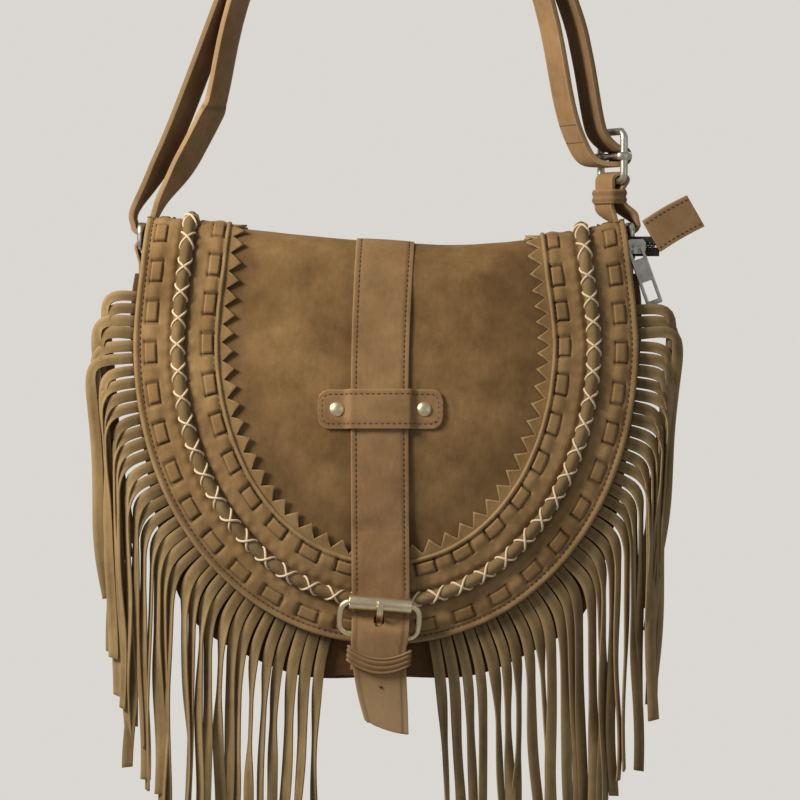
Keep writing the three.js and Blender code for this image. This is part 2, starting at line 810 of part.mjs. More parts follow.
bag.add(piece("back_panel", backPanel(), SUEDE));
bag.add(piece("front_panel", frontPanel(), SUEDE_DARK));
bag.add(piece("gusset", gusset(), SUEDE));

bag.add(piece("zip_tape_upper", zipTapeUpper(), TAPE));
bag.add(piece("zip_tape_lower", zipTapeLower(), TAPE));
bag.add(piece("zip_end_tab", zipEndTab(), STRAP_LEATHER));
const slider = new THREE.Group();
slider.position.set(SLIDER_X, 0, ZIP.z);
slider.add(piece("zip_slider", zipSlider(), NICKEL));
const puller = piece("zip_puller", zipPuller(), NICKEL);
puller.position.set(0, PULLER.y, PULLER.z);
puller.rotation.y = (-PULLER.lean * Math.PI) / 180;
slider.add(puller);
bag.add(slider);

bag.add(piece("flap", flap(), SUEDE));
bag.add(piece("flap_border", layer(uRing(BORDER.from, BORDER.to), BORDER.low, BORDER.high), SUEDE));
bag.add(piece("zigzag_trim", zigzagTrim(), SUEDE));
bag.add(piece("lace_outer", lace(LACE_INSETS[0]), SUEDE));
bag.add(piece("lace_inner", lace(LACE_INSETS[1]), SUEDE));
bag.add(piece("piping_cord", pipingCord(), SUEDE_DARK));
bag.add(piece("fringe_left", fringe(-1), FRINGE_SUEDE));
bag.add(piece("fringe_right", fringe(1), FRINGE_SUEDE));

bag.add(piece("front_strap", frontStrap(), STRAP_LEATHER));
bag.add(piece("cross_tab", crossTab(), STRAP_LEATHER));
bag.add(piece("rivet_left", rivet(-1), BRASS));
bag.add(piece("rivet_right", rivet(1), BRASS));

const buckle = new THREE.Group();
buckle.position.set(BUCKLE.x, BUCKLE.y, BUCKLE.z);
buckle.rotation.y = BUCKLE.tilt * degrees;
buckle.add(piece("buckle_frame", buckleFrame(), BRASS));
buckle.add(piece("buckle_roller", buckleRoller(), BRASS));
buckle.add(piece("buckle_tongue", buckleTongue(), BRASS));
buckle.add(piece("buckle_chape", buckleChape(), STRAP_LEATHER));
buckle.add(piece("buckle_keeper", buckleKeeper(), STRAP_LEATHER));
bag.add(buckle);

for (const [name, side] of [["left", -1], ["right", 1]]) {
  const ring = piece(name + "_ring", dRing(), NICKEL);
  ring.position.set(side * RING.x, BAND.y, RING.z);
  bag.add(ring);
  const tab = piece(name + "_ring_tab", ringTab(), STRAP_LEATHER);
  tab.position.set(side * RING.x, BAND.y, 0);
  bag.add(tab);
}

const carrying = new THREE.Group();
carrying.position.y = BAND.y;
carrying.add(piece("shoulder_strap", shoulderStrap(), STRAP_LEATHER));
carrying.add(piece("short_strap", shortStrap(), STRAP_LEATHER));
const frame = piece("strap_buckle", slideBuckle(), NICKEL);
frame.position.set(SLIDE_BUCKLE.x, 0, SLIDE_BUCKLE.z);
frame.rotation.z = SLIDE_BUCKLE.turn * degrees;
carrying.add(frame);
const keeper = piece("short_strap_keeper", shortStrapKeeper(), STRAP_LEATHER);
keeper.position.set(136.9, 0, 23.5);
keeper.rotation.z = SLIDE_BUCKLE.turn * degrees;
carrying.add(keeper);
bag.add(carrying);

const hung = new THREE.Group();
hung.add(bag);
export default hung;
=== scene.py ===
import math
import random

import bmesh
import bpy
from mathutils import Matrix, Vector, noise


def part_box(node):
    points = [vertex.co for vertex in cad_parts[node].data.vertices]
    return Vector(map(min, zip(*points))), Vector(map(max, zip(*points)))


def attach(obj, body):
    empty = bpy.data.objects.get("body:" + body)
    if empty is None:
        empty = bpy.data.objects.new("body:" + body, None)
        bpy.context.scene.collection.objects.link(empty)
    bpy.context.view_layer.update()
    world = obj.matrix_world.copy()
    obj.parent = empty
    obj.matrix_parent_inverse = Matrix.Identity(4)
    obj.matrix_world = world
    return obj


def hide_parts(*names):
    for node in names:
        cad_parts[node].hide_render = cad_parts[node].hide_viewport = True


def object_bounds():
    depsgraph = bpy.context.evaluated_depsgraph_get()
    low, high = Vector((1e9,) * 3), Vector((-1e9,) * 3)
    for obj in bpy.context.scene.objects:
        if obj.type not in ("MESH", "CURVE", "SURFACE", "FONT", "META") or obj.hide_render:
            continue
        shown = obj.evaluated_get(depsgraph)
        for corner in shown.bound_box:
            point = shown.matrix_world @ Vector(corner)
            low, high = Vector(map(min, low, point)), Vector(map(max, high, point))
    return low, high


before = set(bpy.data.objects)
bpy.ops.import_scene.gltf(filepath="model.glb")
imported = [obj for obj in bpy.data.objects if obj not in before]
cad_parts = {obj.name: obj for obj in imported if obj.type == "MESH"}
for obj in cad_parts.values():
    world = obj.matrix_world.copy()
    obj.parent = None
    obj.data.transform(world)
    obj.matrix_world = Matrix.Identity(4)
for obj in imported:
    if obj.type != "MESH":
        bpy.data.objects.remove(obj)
cad_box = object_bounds()

# ---- Place of the bag ----
# The bag hangs by its shoulder strap. Its own sizes are in millimetres from the flap's top line, with
# X to the right, Y to the back and Z up, and bag_point turns them into the frame's metres.
MM = 0.001
FOLD_RISE = 6
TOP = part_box("flap")[1][2] - FOLD_RISE * MM


def bag_point(x, y, z):
    return Vector((x * MM, y * MM, z * MM + TOP))


# ---- Camera, light and floor ----
# A camera a little above the flap, close enough for the strap and the fringe to run out of the picture,
# a warm window light from the upper left, weak fills from the right and the back, a pale backdrop all
# round and a pale floor far below.
look_at = bag_point(8.5, -30, -99)
CAMERA_DISTANCE, CAMERA_RISE = 1.5, math.radians(3.5)
FILM_WIDTH, SEEN_WIDTH = 36, 0.48


def add_object(name, data):
    made = bpy.data.objects.new(name, data)
    bpy.context.scene.collection.objects.link(made)
    return made


camera = add_object("camera", bpy.data.cameras.new("camera"))
camera.location = look_at + CAMERA_DISTANCE * Vector((0, -math.cos(CAMERA_RISE), math.sin(CAMERA_RISE)))
camera.rotation_euler = (look_at - camera.location).to_track_quat("-Z", "Y").to_euler()
camera.data.sensor_width = FILM_WIDTH
camera.data.lens = FILM_WIDTH * CAMERA_DISTANCE / SEEN_WIDTH
camera.data.clip_start = 0.01
bpy.context.scene.camera = camera
bpy.context.scene.view_settings.view_transform = "Standard"


def soft_light(name, spot, size, power, colour):
    data = bpy.data.lights.new(name, "AREA")
    data.shape = "DISK"
    data.size = size
    data.energy = power
    data.color = colour
    light = add_object(name, data)
    light.location = spot
    light.rotation_euler = (look_at - light.location).to_track_quat("-Z", "Y").to_euler()


soft_light("window", (-0.72, -0.42, 0.02), 0.34, 11.5, (1.0, 0.90, 0.76))
soft_light("fill", (1.1, -1.1, -0.3), 1.0, 1.1, (0.92, 0.96, 1.0))
soft_light("back fill", (0.9, 1.5, 0.3), 1.0, 4, (0.92, 0.96, 1.0))


def fill_sockets(tree, node, values):
    """Sets a node's inputs, each to a plain value or linked from another node's socket."""
    for key, value in values.items():
        socket = node.inputs[key]
        if isinstance(value, bpy.types.NodeSocket):
            tree.links.new(value, socket)
        else:
            socket.default_value = (*value, 1) if socket.type == "RGBA" else value


def add_node(tree, kind, values=None, **settings):
    node = tree.nodes.new("ShaderNode" + kind)
    for key, value in settings.items():
        setattr(node, key, value)
    fill_sockets(tree, node, values or {})
    return node


world = bpy.data.worlds.new("room")
world.use_nodes = True
room = world.node_tree
room_light = room.nodes["Background"]
fill_sockets(room, room_light, {"Color": (0.90, 0.92, 0.95), "Strength": 0.27})
backdrop = add_node(room, "Background", {"Color": (0.70, 0.68, 0.64)})
backdrop_or_light = add_node(room, "MixShader", {
    0: add_node(room, "LightPath").outputs["Is Camera Ray"],
    1: room_light.outputs[0],
    2: backdrop.outputs[0],
})
fill_sockets(room, room.nodes["World Output"], {"Surface": backdrop_or_light.outputs[0]})
bpy.context.scene.world = world


def new_material(name):
    material = bpy.data.materials.new(name)
    material.use_nodes = True
    return material, material.node_tree, material.node_tree.nodes["Principled BSDF"]


FLOOR_RADIUS, FLOOR_DROP = 4.5, 1.2
floor_bm = bmesh.new()
bmesh.ops.create_circle(floor_bm, cap_ends=True, radius=FLOOR_RADIUS, segments=96)
bmesh.ops.translate(floor_bm, verts=floor_bm.verts, vec=(0, 0, cad_box[0][2] - FLOOR_DROP))
floor_mesh = bpy.data.meshes.new("floor")
floor_bm.to_mesh(floor_mesh)
floor_bm.free()
floor_paint, floor_tree, floor_shader = new_material("floor_paint")
fill_sockets(floor_tree, floor_shader, {"Base Color": (0.93, 0.91, 0.88), "Roughness": 0.9})
floor_mesh.materials.append(floor_paint)
add_object("floor", floor_mesh)

# ---- Body: back panel ----
# One piece of matt suede-finish leather, flat at the back and cut to the bag's rounded outline. Its edge
# stands a little over the gusset, where the two are stitched together.


def smooth_line(points, per_span=8, closed=False):
    """A smooth line through given points of any dimension, as vectors."""
    points = [Vector(p) for p in points]
    count = len(points)
    spans = count if closed else count - 1

    def pick(i):
        return points[i % count] if closed else points[max(0, min(count - 1, i))]

    line = []
    for i in range(spans):
        a, b, c, d = (pick(i + k) for k in (-1, 0, 1, 2))
        for k in range(per_span):
            t = k / per_span
            line.append(0.5 * (2 * b + t * (c - a) + t * t * (2 * a - 5 * b + 4 * c - d)
                               + t * t * t * (3 * b - 3 * c + d - a)))
    if not closed:
        line.append(points[-1].copy())
    return line


def value_along(line, where, key=0, value=1):
    """The value on a line whose key rises or falls steadily, at one key."""
    rising = line[-1][key] > line[0][key]
    low, high = 0, len(line) - 1
    while high - low > 1:
        middle = (low + high) // 2
        if (line[middle][key] < where) == rising:
            low = middle
        else:
            high = middle
    span = line[high][key] - line[low][key]
    share = max(0.0, min(1.0, (where - line[low][key]) / span))
    return line[low][value] + (line[high][value] - line[low][value]) * share


def at_height(line, z):
    """A line's first value where its second is z."""
    return value_along(line, z, key=1, value=0)


def sheet_grid(u_steps, v_steps, place, painted_shade=None, wear_and_painted_light=None):
    """A sheet of quads: place(u, v) puts each vertex, and two more functions write its painted shade, which darkens
    creases, grooves and shadowed spots, and its paler rubbed edges, which on the front strap's free end are painted
    light.
    """
    bm = bmesh.new()
    bmesh.ops.create_grid(bm, x_segments=u_steps, y_segments=v_steps, size=0.5)
    shade_layer = bm.verts.layers.float.new("painted_shade")
    wear_and_light_layer = bm.verts.layers.float.new("wear_and_painted_light")
    for vert in bm.verts:
        u, v = vert.co.x + 0.5, vert.co.y + 0.5
        vert.co = place(u, v)
        vert[shade_layer] = painted_shade(u, v) if painted_shade else 0.0
        vert[wear_and_light_layer] = wear_and_painted_light(u, v) if wear_and_painted_light else 0.0
    return bm


def finish_piece(name, bm, material, body="bag", thick=0, offset=-1, bevel=0, replaces=()):
    """Makes the mesh an object with its leather thickness and soft edges, on its body."""
    mesh = bpy.data.meshes.new(name)
    bm.to_mesh(mesh)
    bm.free()
    mesh.polygons.foreach_set("use_smooth", [True] * len(mesh.polygons))
    mesh.materials.append(material)
    piece = add_object(name, mesh)
    if thick:
        wall = piece.modifiers.new("thickness", "SOLIDIFY")
        wall.thickness = thick * MM
        wall.offset = offset
    if bevel:
        edge = piece.modifiers.new("edge", "BEVEL")
        edge.width = bevel * MM
        edge.segments = 2
        edge.limit_method = "ANGLE"
        edge.angle_limit = math.radians(50)
    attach(piece, body)
    if replaces:
        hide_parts(*replaces)
    return piece


def add_noise(tree, scale, detail, roughness, stretch=None):
    """Object-space noise; stretch is the scale along each axis."""
    place = add_node(tree, "TexCoord").outputs["Object"]
    if stretch:
        place = add_node(tree, "Mapping", {"Vector": place, "Scale": stretch}).outputs[0]
    values = {"Vector": place, "Scale": scale, "Detail": detail, "Roughness": roughness}
    return add_node(tree, "TexNoise", values).outputs["Fac"]


def add_math(tree, operation, a, b, clamp=False):
    return add_node(tree, "Math", {0: a, 1: b}, operation=operation, use_clamp=clamp).outputs[0]


def add_range(tree, value, low, high):
    return add_node(tree, "MapRange", {"Value": value, "From Min": low, "From Max": high}).outputs[0]


def add_mix(tree, factor, a, b, blend="MIX"):
    return add_node(tree, "Mix", {0: factor, 6: a, 7: b}, data_type="RGBA", blend_type=blend).outputs[2]


def blended(tree, a, a_share, b, b_share):
    """The sum of two values by their shares."""
    return add_math(tree, "ADD", add_math(tree, "MULTIPLY", a, a_share), add_math(tree, "MULTIPLY", b, b_share))


def build_suede_group():
    """Suede finish: cloudy light and dark patches, rubbed edges, painted shade in creases, grooves and other
    shadowed spots, and a short nap. The input that pales rubbed edges also carries painted light on the front
    strap's free end.
    """
    group = bpy.data.node_groups.new("suede_finish", "ShaderNodeTree")
    for way, label, kind in (
        ("INPUT", "Light", "Color"), ("INPUT", "Dark", "Color"), ("INPUT", "Painted Shade", "Float"),
        ("INPUT", "Wear And Painted Light", "Float"), ("OUTPUT", "Color", "Color"), ("OUTPUT", "Roughness", "Float"),
        ("OUTPUT", "Height", "Float"),
    ):
        group.interface.new_socket(label, in_out=way, socket_type="NodeSocket" + kind)
    source = group.nodes.new("NodeGroupInput").outputs
    clouds = add_range(group, add_noise(group, 26, 5, 0.62), 0.34, 0.66)
    blotch = add_range(group, add_noise(group, 95, 4, 0.6), 0.3, 0.7)
    nap = add_noise(group, 1500, 4, 0.7)
    brushed = add_noise(group, 420, 3, 0.6, stretch=(1, 1, 0.35))
    colour = add_mix(group, blended(group, clouds, 0.7, blotch, 0.3), source["Dark"], source["Light"])
    tone = add_math(group, "ADD", blended(group, nap, 0.22, brushed, 0.34), 0.72)
    colour = add_mix(group, 1.0, colour, tone, blend="MULTIPLY")
    # Rubbed edges pale towards a light tan; on the front strap's free end the same paling is painted light.
    colour = add_mix(group, add_math(group, "MULTIPLY", source["Wear And Painted Light"], 0.55), colour, (0.50, 0.36, 0.20))
    # Painted shade: darkens creases, grooves, slits and other shadowed spots towards near black.
    shade_amount = add_math(group, "MULTIPLY", source["Painted Shade"], 0.85, clamp=True)
    fill_sockets(group, group.nodes.new("NodeGroupOutput"), {
        "Color": add_mix(group, shade_amount, colour, (0.030, 0.018, 0.009)),
        "Roughness": add_math(group, "SUBTRACT", 0.97, add_math(group, "MULTIPLY", clouds, 0.16)),
        "Height": blended(group, nap, 0.5, brushed, 0.6),
    })
    return group


suede_finish = build_suede_group()


def add_bump(tree, height, strength, depth):
    return add_node(tree, "Bump", {"Strength": strength, "Distance": depth, "Height": height}).outputs[0]


def suede(name, light, dark, nap=0.35, sheen=0.12):
    """A leather with the suede finish in its own two colours."""
    material, tree, shader = new_material(name)
    finish = add_node(tree, "Group", node_tree=suede_finish)
    # Each piece's painted shade and its rubbed edges, with painted light on the front strap's free end, come from
    # two vertex attributes.
    shade_amount = add_node(tree, "Attribute", attribute_name="painted_shade").outputs["Fac"]
    wear_and_painted_light = add_node(tree, "Attribute", attribute_name="wear_and_painted_light").outputs["Fac"]
    fill_sockets(tree, finish, {"Light": light, "Dark": dark, "Painted Shade": shade_amount, "Wear And Painted Light": wear_and_painted_light})
    fill_sockets(tree, shader, {
        "Base Color": finish.outputs["Color"],
        "Roughness": finish.outputs["Roughness"],
        "Normal": add_bump(tree, finish.outputs["Height"], nap, 0.0004),
        "Specular IOR Level": 0.14,
        "Sheen Weight": sheen,
        "Sheen Roughness": 0.45,
        "Sheen Tint": (0.90, 0.68, 0.42),
    })
    return material


body_suede = suede("body_suede", (0.235, 0.148, 0.062), (0.125, 0.074, 0.029))
BODY_BOTTOM = -266
BODY_OUTLINE = smooth_line(
    [(154, -14), (155, -50), (147, -115), (134, -185), (117, -230), (86, -252), (50, BODY_BOTTOM)], 10,
)
BACK_Y = 26


def ease(value, low, high):
    t = max(0.0, min(1.0, (value - low) / (high - low)))
    return t * t * (3 - 2 * t)


def body_half(z):
    return at_height(BODY_OUTLINE, z) - 4 * ease(z, -62, -16)


def panel_height(v, top):
    """Rows crowd towards the panel's round bottom corners."""
    return BODY_BOTTOM + (top - BODY_BOTTOM) * v**1.4


def back_place(u, v):
    z = panel_height(v, -14)
    side = 2 * u - 1
    pillow = 1.4 * (1 - side**4) * math.sin(math.pi * min(1, v * 1.1))
    pillow += 0.5 * noise.noise(Vector((side * 3, v * 3, 7)))
    return bag_point(side * (body_half(z) + 1.2), BACK_Y + pillow, z)


back = sheet_grid(64, 60, back_place, wear_and_painted_light=lambda u, v: max(0, abs(2 * u - 1) * 40 - 39.2))
finish_piece(
    "back_leather", back, body_suede,
    thick=2, offset=1, bevel=0.5, replaces=("back_panel",),
)

# ---- Body: front panel ----
# The front of the bag, pinched to the zip at the top and full below, mostly hidden by the flap. Only its
# bottom shows under the flap, behind the fringe.
FRONT_FACE = smooth_line(
    [(-8.3, -21), (-9, -50), (-17, -80), (-24, -110), (-28.5, -140), (-30, -165), (-30, BODY_BOTTOM)], 8,
)
shaded_suede = suede("shaded_suede", (0.150, 0.080, 0.035), (0.080, 0.040, 0.016))


def front_y(z):
    return at_height(FRONT_FACE, z)


def front_place(u, v):
    z = panel_height(v, -24)
    side = 2 * u - 1
    pillow = 1.5 * (1 - side**2) * math.sin(math.pi * v) + 0.6 * noise.noise(Vector((side * 4, v * 4, 2)))
    return bag_point(side * (body_half(z) + 1.0), front_y(z) - pillow * 0.6, z)


finish_piece(
    "front_leather", sheet_grid(64, 60, front_place), shaded_suede, thick=2, bevel=0.5,
    replaces=("front_panel",),
)

# ---- Body: gusset ----
# One long strip that runs down one side, under the bottom and up the other side, between front and back.
# It bellies out a little between its two seams.
gusset_line = smooth_line(
    [(-150.5, -24), (-153, -50), (-146.4, -115), (-133.4, -185), (-116.5, -229.5), (-85.7, -251.4), (-50, -265.2),
     (0, -265.4), (50, -265.2), (85.7, -251.4), (116.5, -229.5), (133.4, -185), (146.4, -115), (153, -50),
     (150.5, -24)], 12,
)


def gusset_place(u, v):
    at = u * (len(gusset_line) - 1)
    i = min(int(at), len(gusset_line) - 2)
    x, z = gusset_line[i].lerp(gusset_line[i + 1], at - i)
    along = (gusset_line[i + 1] - gusset_line[i]).normalized()
    low, high = front_y(z) + 2, BACK_Y - 2
    belly = 2.2 * math.sin(math.pi * v) - 0.6
    belly += 0.8 * noise.noise(Vector((u * 14, v * 2, 5)))
    return bag_point(x + along.y * belly, low + (high - low) * v, z - along.x * belly)


finish_piece(
    "gusset_leather", sheet_grid(168, 10, gusset_place), shaded_suede, thick=1.8, replaces=("gusset",)
)

# ---- Flap ----
# The U-shaped flap leather: sewn to the back, rolled over the top and hanging down the front in a soft
# bulge. Its top sags between the two rings, and the panel inside the border is a little puffed.
FOLD_RADIUS = 24
FOLD_Y, FOLD_Z = 4.6, -18
FOLD_LENGTH = math.pi * FOLD_RADIUS
BACK_RUN = 30
FLAP_HALF, FLAP_DROP, FLAP_MIDDLE = 152, 185.5, -60
FULLNESS = 0.96
FLAP_FACE = smooth_line(
    [(-19.4, -18), (-20.6, -30), (-24.5, -52), (-35, -105), (-39.5, -160), (-38, -210), (-34.5, -246),
     (-33, -256)], 10,
)


def face_line(run):
    """The flap's outer face in Y and Z with its outward direction. run is the height on the front, and past
    the fold it goes on as a length over the top and down the back."""
    if run <= FOLD_Z:
        y = at_height(FLAP_FACE, run)
        slope = at_height(FLAP_FACE, run - 1) - at_height(FLAP_FACE, run + 1)
        out = Vector((-2, -slope)).normalized()
        return y, run, out.x, out.y
    turned = (run - FOLD_Z) / FOLD_RADIUS
    if turned <= math.pi:
        c, s = math.cos(turned), math.sin(turned)
        return FOLD_Y - FOLD_RADIUS * c, FOLD_Z + FOLD_RADIUS * s, -c, s
    return FOLD_Y + FOLD_RADIUS, FOLD_Z - (run - FOLD_Z - FOLD_LENGTH), 1.0, 0.0


def arm_half(run):
    """Half the flap's width on its arms, which draw in towards the fold."""
    z = face_line(run)[1]
    return FLAP_HALF - 6.5 * ease(z, -75, 14) ** 1.3


SAG_LINE = smooth_line(
    [(-160, -1.5), (-125, -1.5), (-100, 0.6), (-77, 3.2), (-40, 7.0), (0, 10.5), (38, 12.0), (70, 10.6), (104, 7.2),
     (128, 3.0), (145, 0), (160, 0)], 6,
)


def fold_sag(x):
    """How far the fold's top hangs below the line between the two rings."""
    return value_along(SAG_LINE, x)


def flap_face(x, run, height=0.0):
    """A point over the flap's face, in the bag's millimetres."""
    y, z, out_y, out_z = face_line(run)
    near_fold = ease(run, -95, -5) if run < 20 else 1 - ease(run, 60, 86)
    sag = fold_sag(x) * near_fold
    swell = 1.3 * noise.noise(Vector((x / 42, run / 42, 3.1)))
    swell += 0.5 * noise.noise(Vector((x / 17, run / 17, 8.4)))
    height += swell * (1 - 0.5 * near_fold)
    wrap = 3.5 * (abs(x) / 150) ** 4 * (1 if run < 20 else -1)
    return Vector((x, y + out_y * height + wrap, z + out_z * height - sag))


def on_bag(point):
    return bag_point(*point)


def inner_reach(x, run, half, drop):
    """How far out a point is in a U of half a width and a drop: 1 is on its edge."""
    return math.hypot(x / half, (run - FLAP_MIDDLE) / drop) if run < FLAP_MIDDLE else abs(x) / half


def inner_puff(x, run):
    """The fullness of the panel inside the border."""
    reach = inner_reach(x, run, 98, 131)
    return 2.2 * (1 - ease(reach, 0.55, 1.0)) * (1 - ease(run, -25, 15))


FLAP_LOW = -244


def flap_spot(u, v):
    run = FLAP_LOW + (FOLD_Z + FOLD_LENGTH + BACK_RUN - FLAP_LOW) * v**1.15
    if run < FLAP_MIDDLE:
        drop = abs(run - FLAP_MIDDLE) / FLAP_DROP
        half = FLAP_HALF * max(0, 1 - drop ** (2 / FULLNESS)) ** (FULLNESS / 2)
    else:
        half = arm_half(run)
    return (2 * u - 1) * max(half - 0.6, 0.01), run


def flap_place(u, v):
    x, run = flap_spot(u, v)
    return on_bag(flap_face(x, run, inner_puff(x, run)))


def bell(value, width):
    return math.exp(-((value / width) ** 2))


def flap_painted_shade(u, v):
    """Painted shade: the panel darkens just inside the raised border and its points, and in two bands beside the
    front strap's edges, where their shadows fall.
    """
    x, run = flap_spot(u, v)
    reach = inner_reach(x, run, 88, 119)
    return 0.30 * ease(reach, 0.84, 1.0) + 0.22 * bell(abs(x + 3) - 19, 5)


flap_suede = suede("flap_suede", (0.310, 0.188, 0.080), (0.140, 0.080, 0.031), nap=0.4, sheen=0.10)
flap_sheet = sheet_grid(120, 150, flap_place, painted_shade=flap_painted_shade)
bmesh.ops.remove_doubles(flap_sheet, verts=flap_sheet.verts, dist=0.0001)
flap_leather = finish_piece("flap_leather", flap_sheet, flap_suede, thick=2, replaces=("flap",))

# ---- Flap border ----
# A 52 mm wide leather border, turned in and stitched along both edges. Two laces are woven through its
# slits, so it bulges over each hidden stretch of lace, and it puckers along the corded middle.
BORDER_WIDTH = 52
LACE_INSETS = (10.5, 44.8)
LACE_WIDTH = 6.6
LACE_PITCH = 24
LACE_SHOWN = 12.4
CORD_INSET = 27
ARM_TOP = FOLD_Z + FOLD_LENGTH + BACK_RUN - 1


def u_point(turn, inset):
    """A point of the U. turn runs 0 to 1 down the left arm, 1 to 2 round the ellipse and 2 to 3 up the right
    arm, and inset is the distance in from the flap's edge."""
    if 1 <= turn <= 2:
        c, s = math.cos(math.pi * turn), math.sin(math.pi * turn)
        a, b = FLAP_HALF - inset, FLAP_DROP - inset * 0.98
        return a * math.copysign(abs(c) ** FULLNESS, c), FLAP_MIDDLE - b * abs(s) ** FULLNESS
    left = turn < 1
    share = turn if left else 3 - turn
    run = ARM_TOP + (FLAP_MIDDLE - ARM_TOP) * share
    half = arm_half(run) - inset
    return (-half if left else half), run


def u_stations(inset, step, start=0.0, end=3.0):
    """Turns spaced evenly along the U at one inset, counted both ways from its lowest point."""
    turns = [start + (end - start) * i / 1500 for i in range(1501)]
    points = [Vector(u_point(turn, inset)) for turn in turns]
    lengths = [0.0]
    for a, b in zip(points, points[1:]):
        lengths.append(lengths[-1] + (b - a).length)
    middle = value_along(list(zip(turns, lengths)), 1.5) if start < 1.5 < end else 0.0
    line = list(zip(lengths, turns))
    first = math.ceil(-middle / step)
    last = math.floor((lengths[-1] - middle) / step)
    return [(k * step, value_along(line, middle + k * step)) for k in range(first, last + 1)]


def phase_in(distance, pitch):
    """How far a distance is from the nearest whole pitch, in mm."""
    return (distance + pitch / 2) % pitch - pitch / 2


def border_shape(inset, distance, lengths):
    """The border's height over the flap and its painted shade, from the inset and the distance along it. The painted
    shade darkens the stitch grooves, the lace slits, the sides of each showing lace and the valleys beside the cord.
    """
    height, shade_amount = 2.5, 0.0
    for edge, size in ((1.7, 1.8), (BORDER_WIDTH - 1.4, 1.5)):
        if abs(inset - edge) < size:
            height += 1.0 * math.sqrt(1 - ((inset - edge) / size) ** 2)
    if inset < 0.4 or inset > BORDER_WIDTH - 0.4:
        height -= 1.3
    for groove in (4.2, BORDER_WIDTH - 3.6):
        height -= 0.45 * bell(inset - groove, 0.7)
        shade_amount += 0.30 * bell(inset - groove, 0.6)
    for lace_inset, length in zip(LACE_INSETS, lengths):
        across = inset - lace_inset
        if abs(across) < 7:
            away = abs(phase_in(length, LACE_PITCH))
            hidden = ease(away, LACE_SHOWN / 2 - 0.3, LACE_SHOWN / 2 + 2.6)
            height += 1.25 * hidden * bell(across, 3.9) * (0.75 + 0.25 * math.cos((away - 12) / 5))
            slit = bell(away - LACE_SHOWN / 2, 0.75) * (1 if abs(across) < 3.6 else bell(abs(across) - 3.6, 0.6))
            sides = bell(abs(across) - LACE_WIDTH / 2 - 0.3, 0.45) * (1 - hidden)
            height -= 1.1 * slit + 0.45 * sides
            shade_amount += 0.95 * slit + 0.45 * sides
    beside = abs(inset - CORD_INSET)
    height -= 1.3 * bell(beside - 4.0, 1.8)
    shade_amount += 0.60 * bell(beside - 3.7, 0.9)
    pucker = math.sin(2 * math.pi * distance / 7.8 + 1.1 * (inset > CORD_INSET))
    height += 0.30 * pucker * bell(beside - 6.5, 2.6)
    height += 0.45 * noise.noise(Vector((distance / 9, inset / 6, 1.7)))
    return height, min(shade_amount, 1.0)


border_rows = u_stations(CORD_INSET, 1.25)
BORDER_COLUMNS = 62


def length_table(inset):
    """For one inset, the distance from the U's lowest point at every turn."""
    return [(turn, d) for d, turn in u_stations(inset, 4.0)]


lace_tables = [length_table(inset) for inset in LACE_INSETS]
lace_lengths = [[value_along(table, turn) for table in lace_tables] for _, turn in border_rows]


def border_at(u, v):
    i = round(u * (len(border_rows) - 1))
    distance, turn = border_rows[i]
    inset = v * BORDER_WIDTH
    return turn, inset, border_shape(inset, distance, lace_lengths[i])


def border_place(u, v):
    turn, inset, (height, _) = border_at(u, v)
    return on_bag(flap_face(*u_point(turn, inset), height))


border_suede = suede("border_suede", (0.365, 0.232, 0.105), (0.195, 0.118, 0.048), nap=0.4, sheen=0.12)
border = sheet_grid(
    len(border_rows) - 1, BORDER_COLUMNS, border_place, painted_shade=lambda u, v: border_at(u, v)[2][1],
    wear_and_painted_light=lambda u, v: 0.5 * bell(v * BORDER_WIDTH - 1.2, 0.9) + 0.6 * bell((1 - v) * BORDER_WIDTH - 1.2, 0.8),
)
finish_piece("border_leather", border, border_suede, thick=2.2, replaces=("flap_border",))

# ---- Zigzag trim ----
# A strip of the same leather, pinked to a row of points and trapped under the border's inner edge. Only
# its points show, and they stand up a little towards their tips.
TOOTH_PITCH = 11
TRIM_EDGE, TOOTH_ROOT, TOOTH_TIP = 49, 53.4, 60.8
tooth_rows = u_stations(56, TOOTH_PITCH / 4)


def row_at(rows, u):
    """The row of a sheet at u, from 0 to 1."""
    return rows[round(u * (len(rows) - 1))]


def trim_place(u, v):
    distance, turn = row_at(tooth_rows, u)
    point = 1 - abs((distance / TOOTH_PITCH) % 1 * 2 - 1)
    reach = TOOTH_ROOT + (TOOTH_TIP - TOOTH_ROOT) * point
    inset = TRIM_EDGE + (reach - TRIM_EDGE) * v
    x, run = u_point(turn, inset)
    return on_bag(flap_face(x, run, inner_puff(x, run) + 2.0 + 0.9 * point * v**2))


trim = sheet_grid(len(tooth_rows) - 1, 6, trim_place, wear_and_painted_light=lambda u, v: 0.7 * (v > 0.9))
finish_piece("pinked_trim", trim, border_suede, thick=1.2, replaces=("zigzag_trim",))

# ---- Laces ----
# Two flat laces of the same suede, woven in and out of the border's slits with even stretches showing.
# Each dips through its slits and runs hidden under the border between them.
lace_suede = suede("lace_suede", (0.350, 0.220, 0.098), (0.200, 0.120, 0.050))


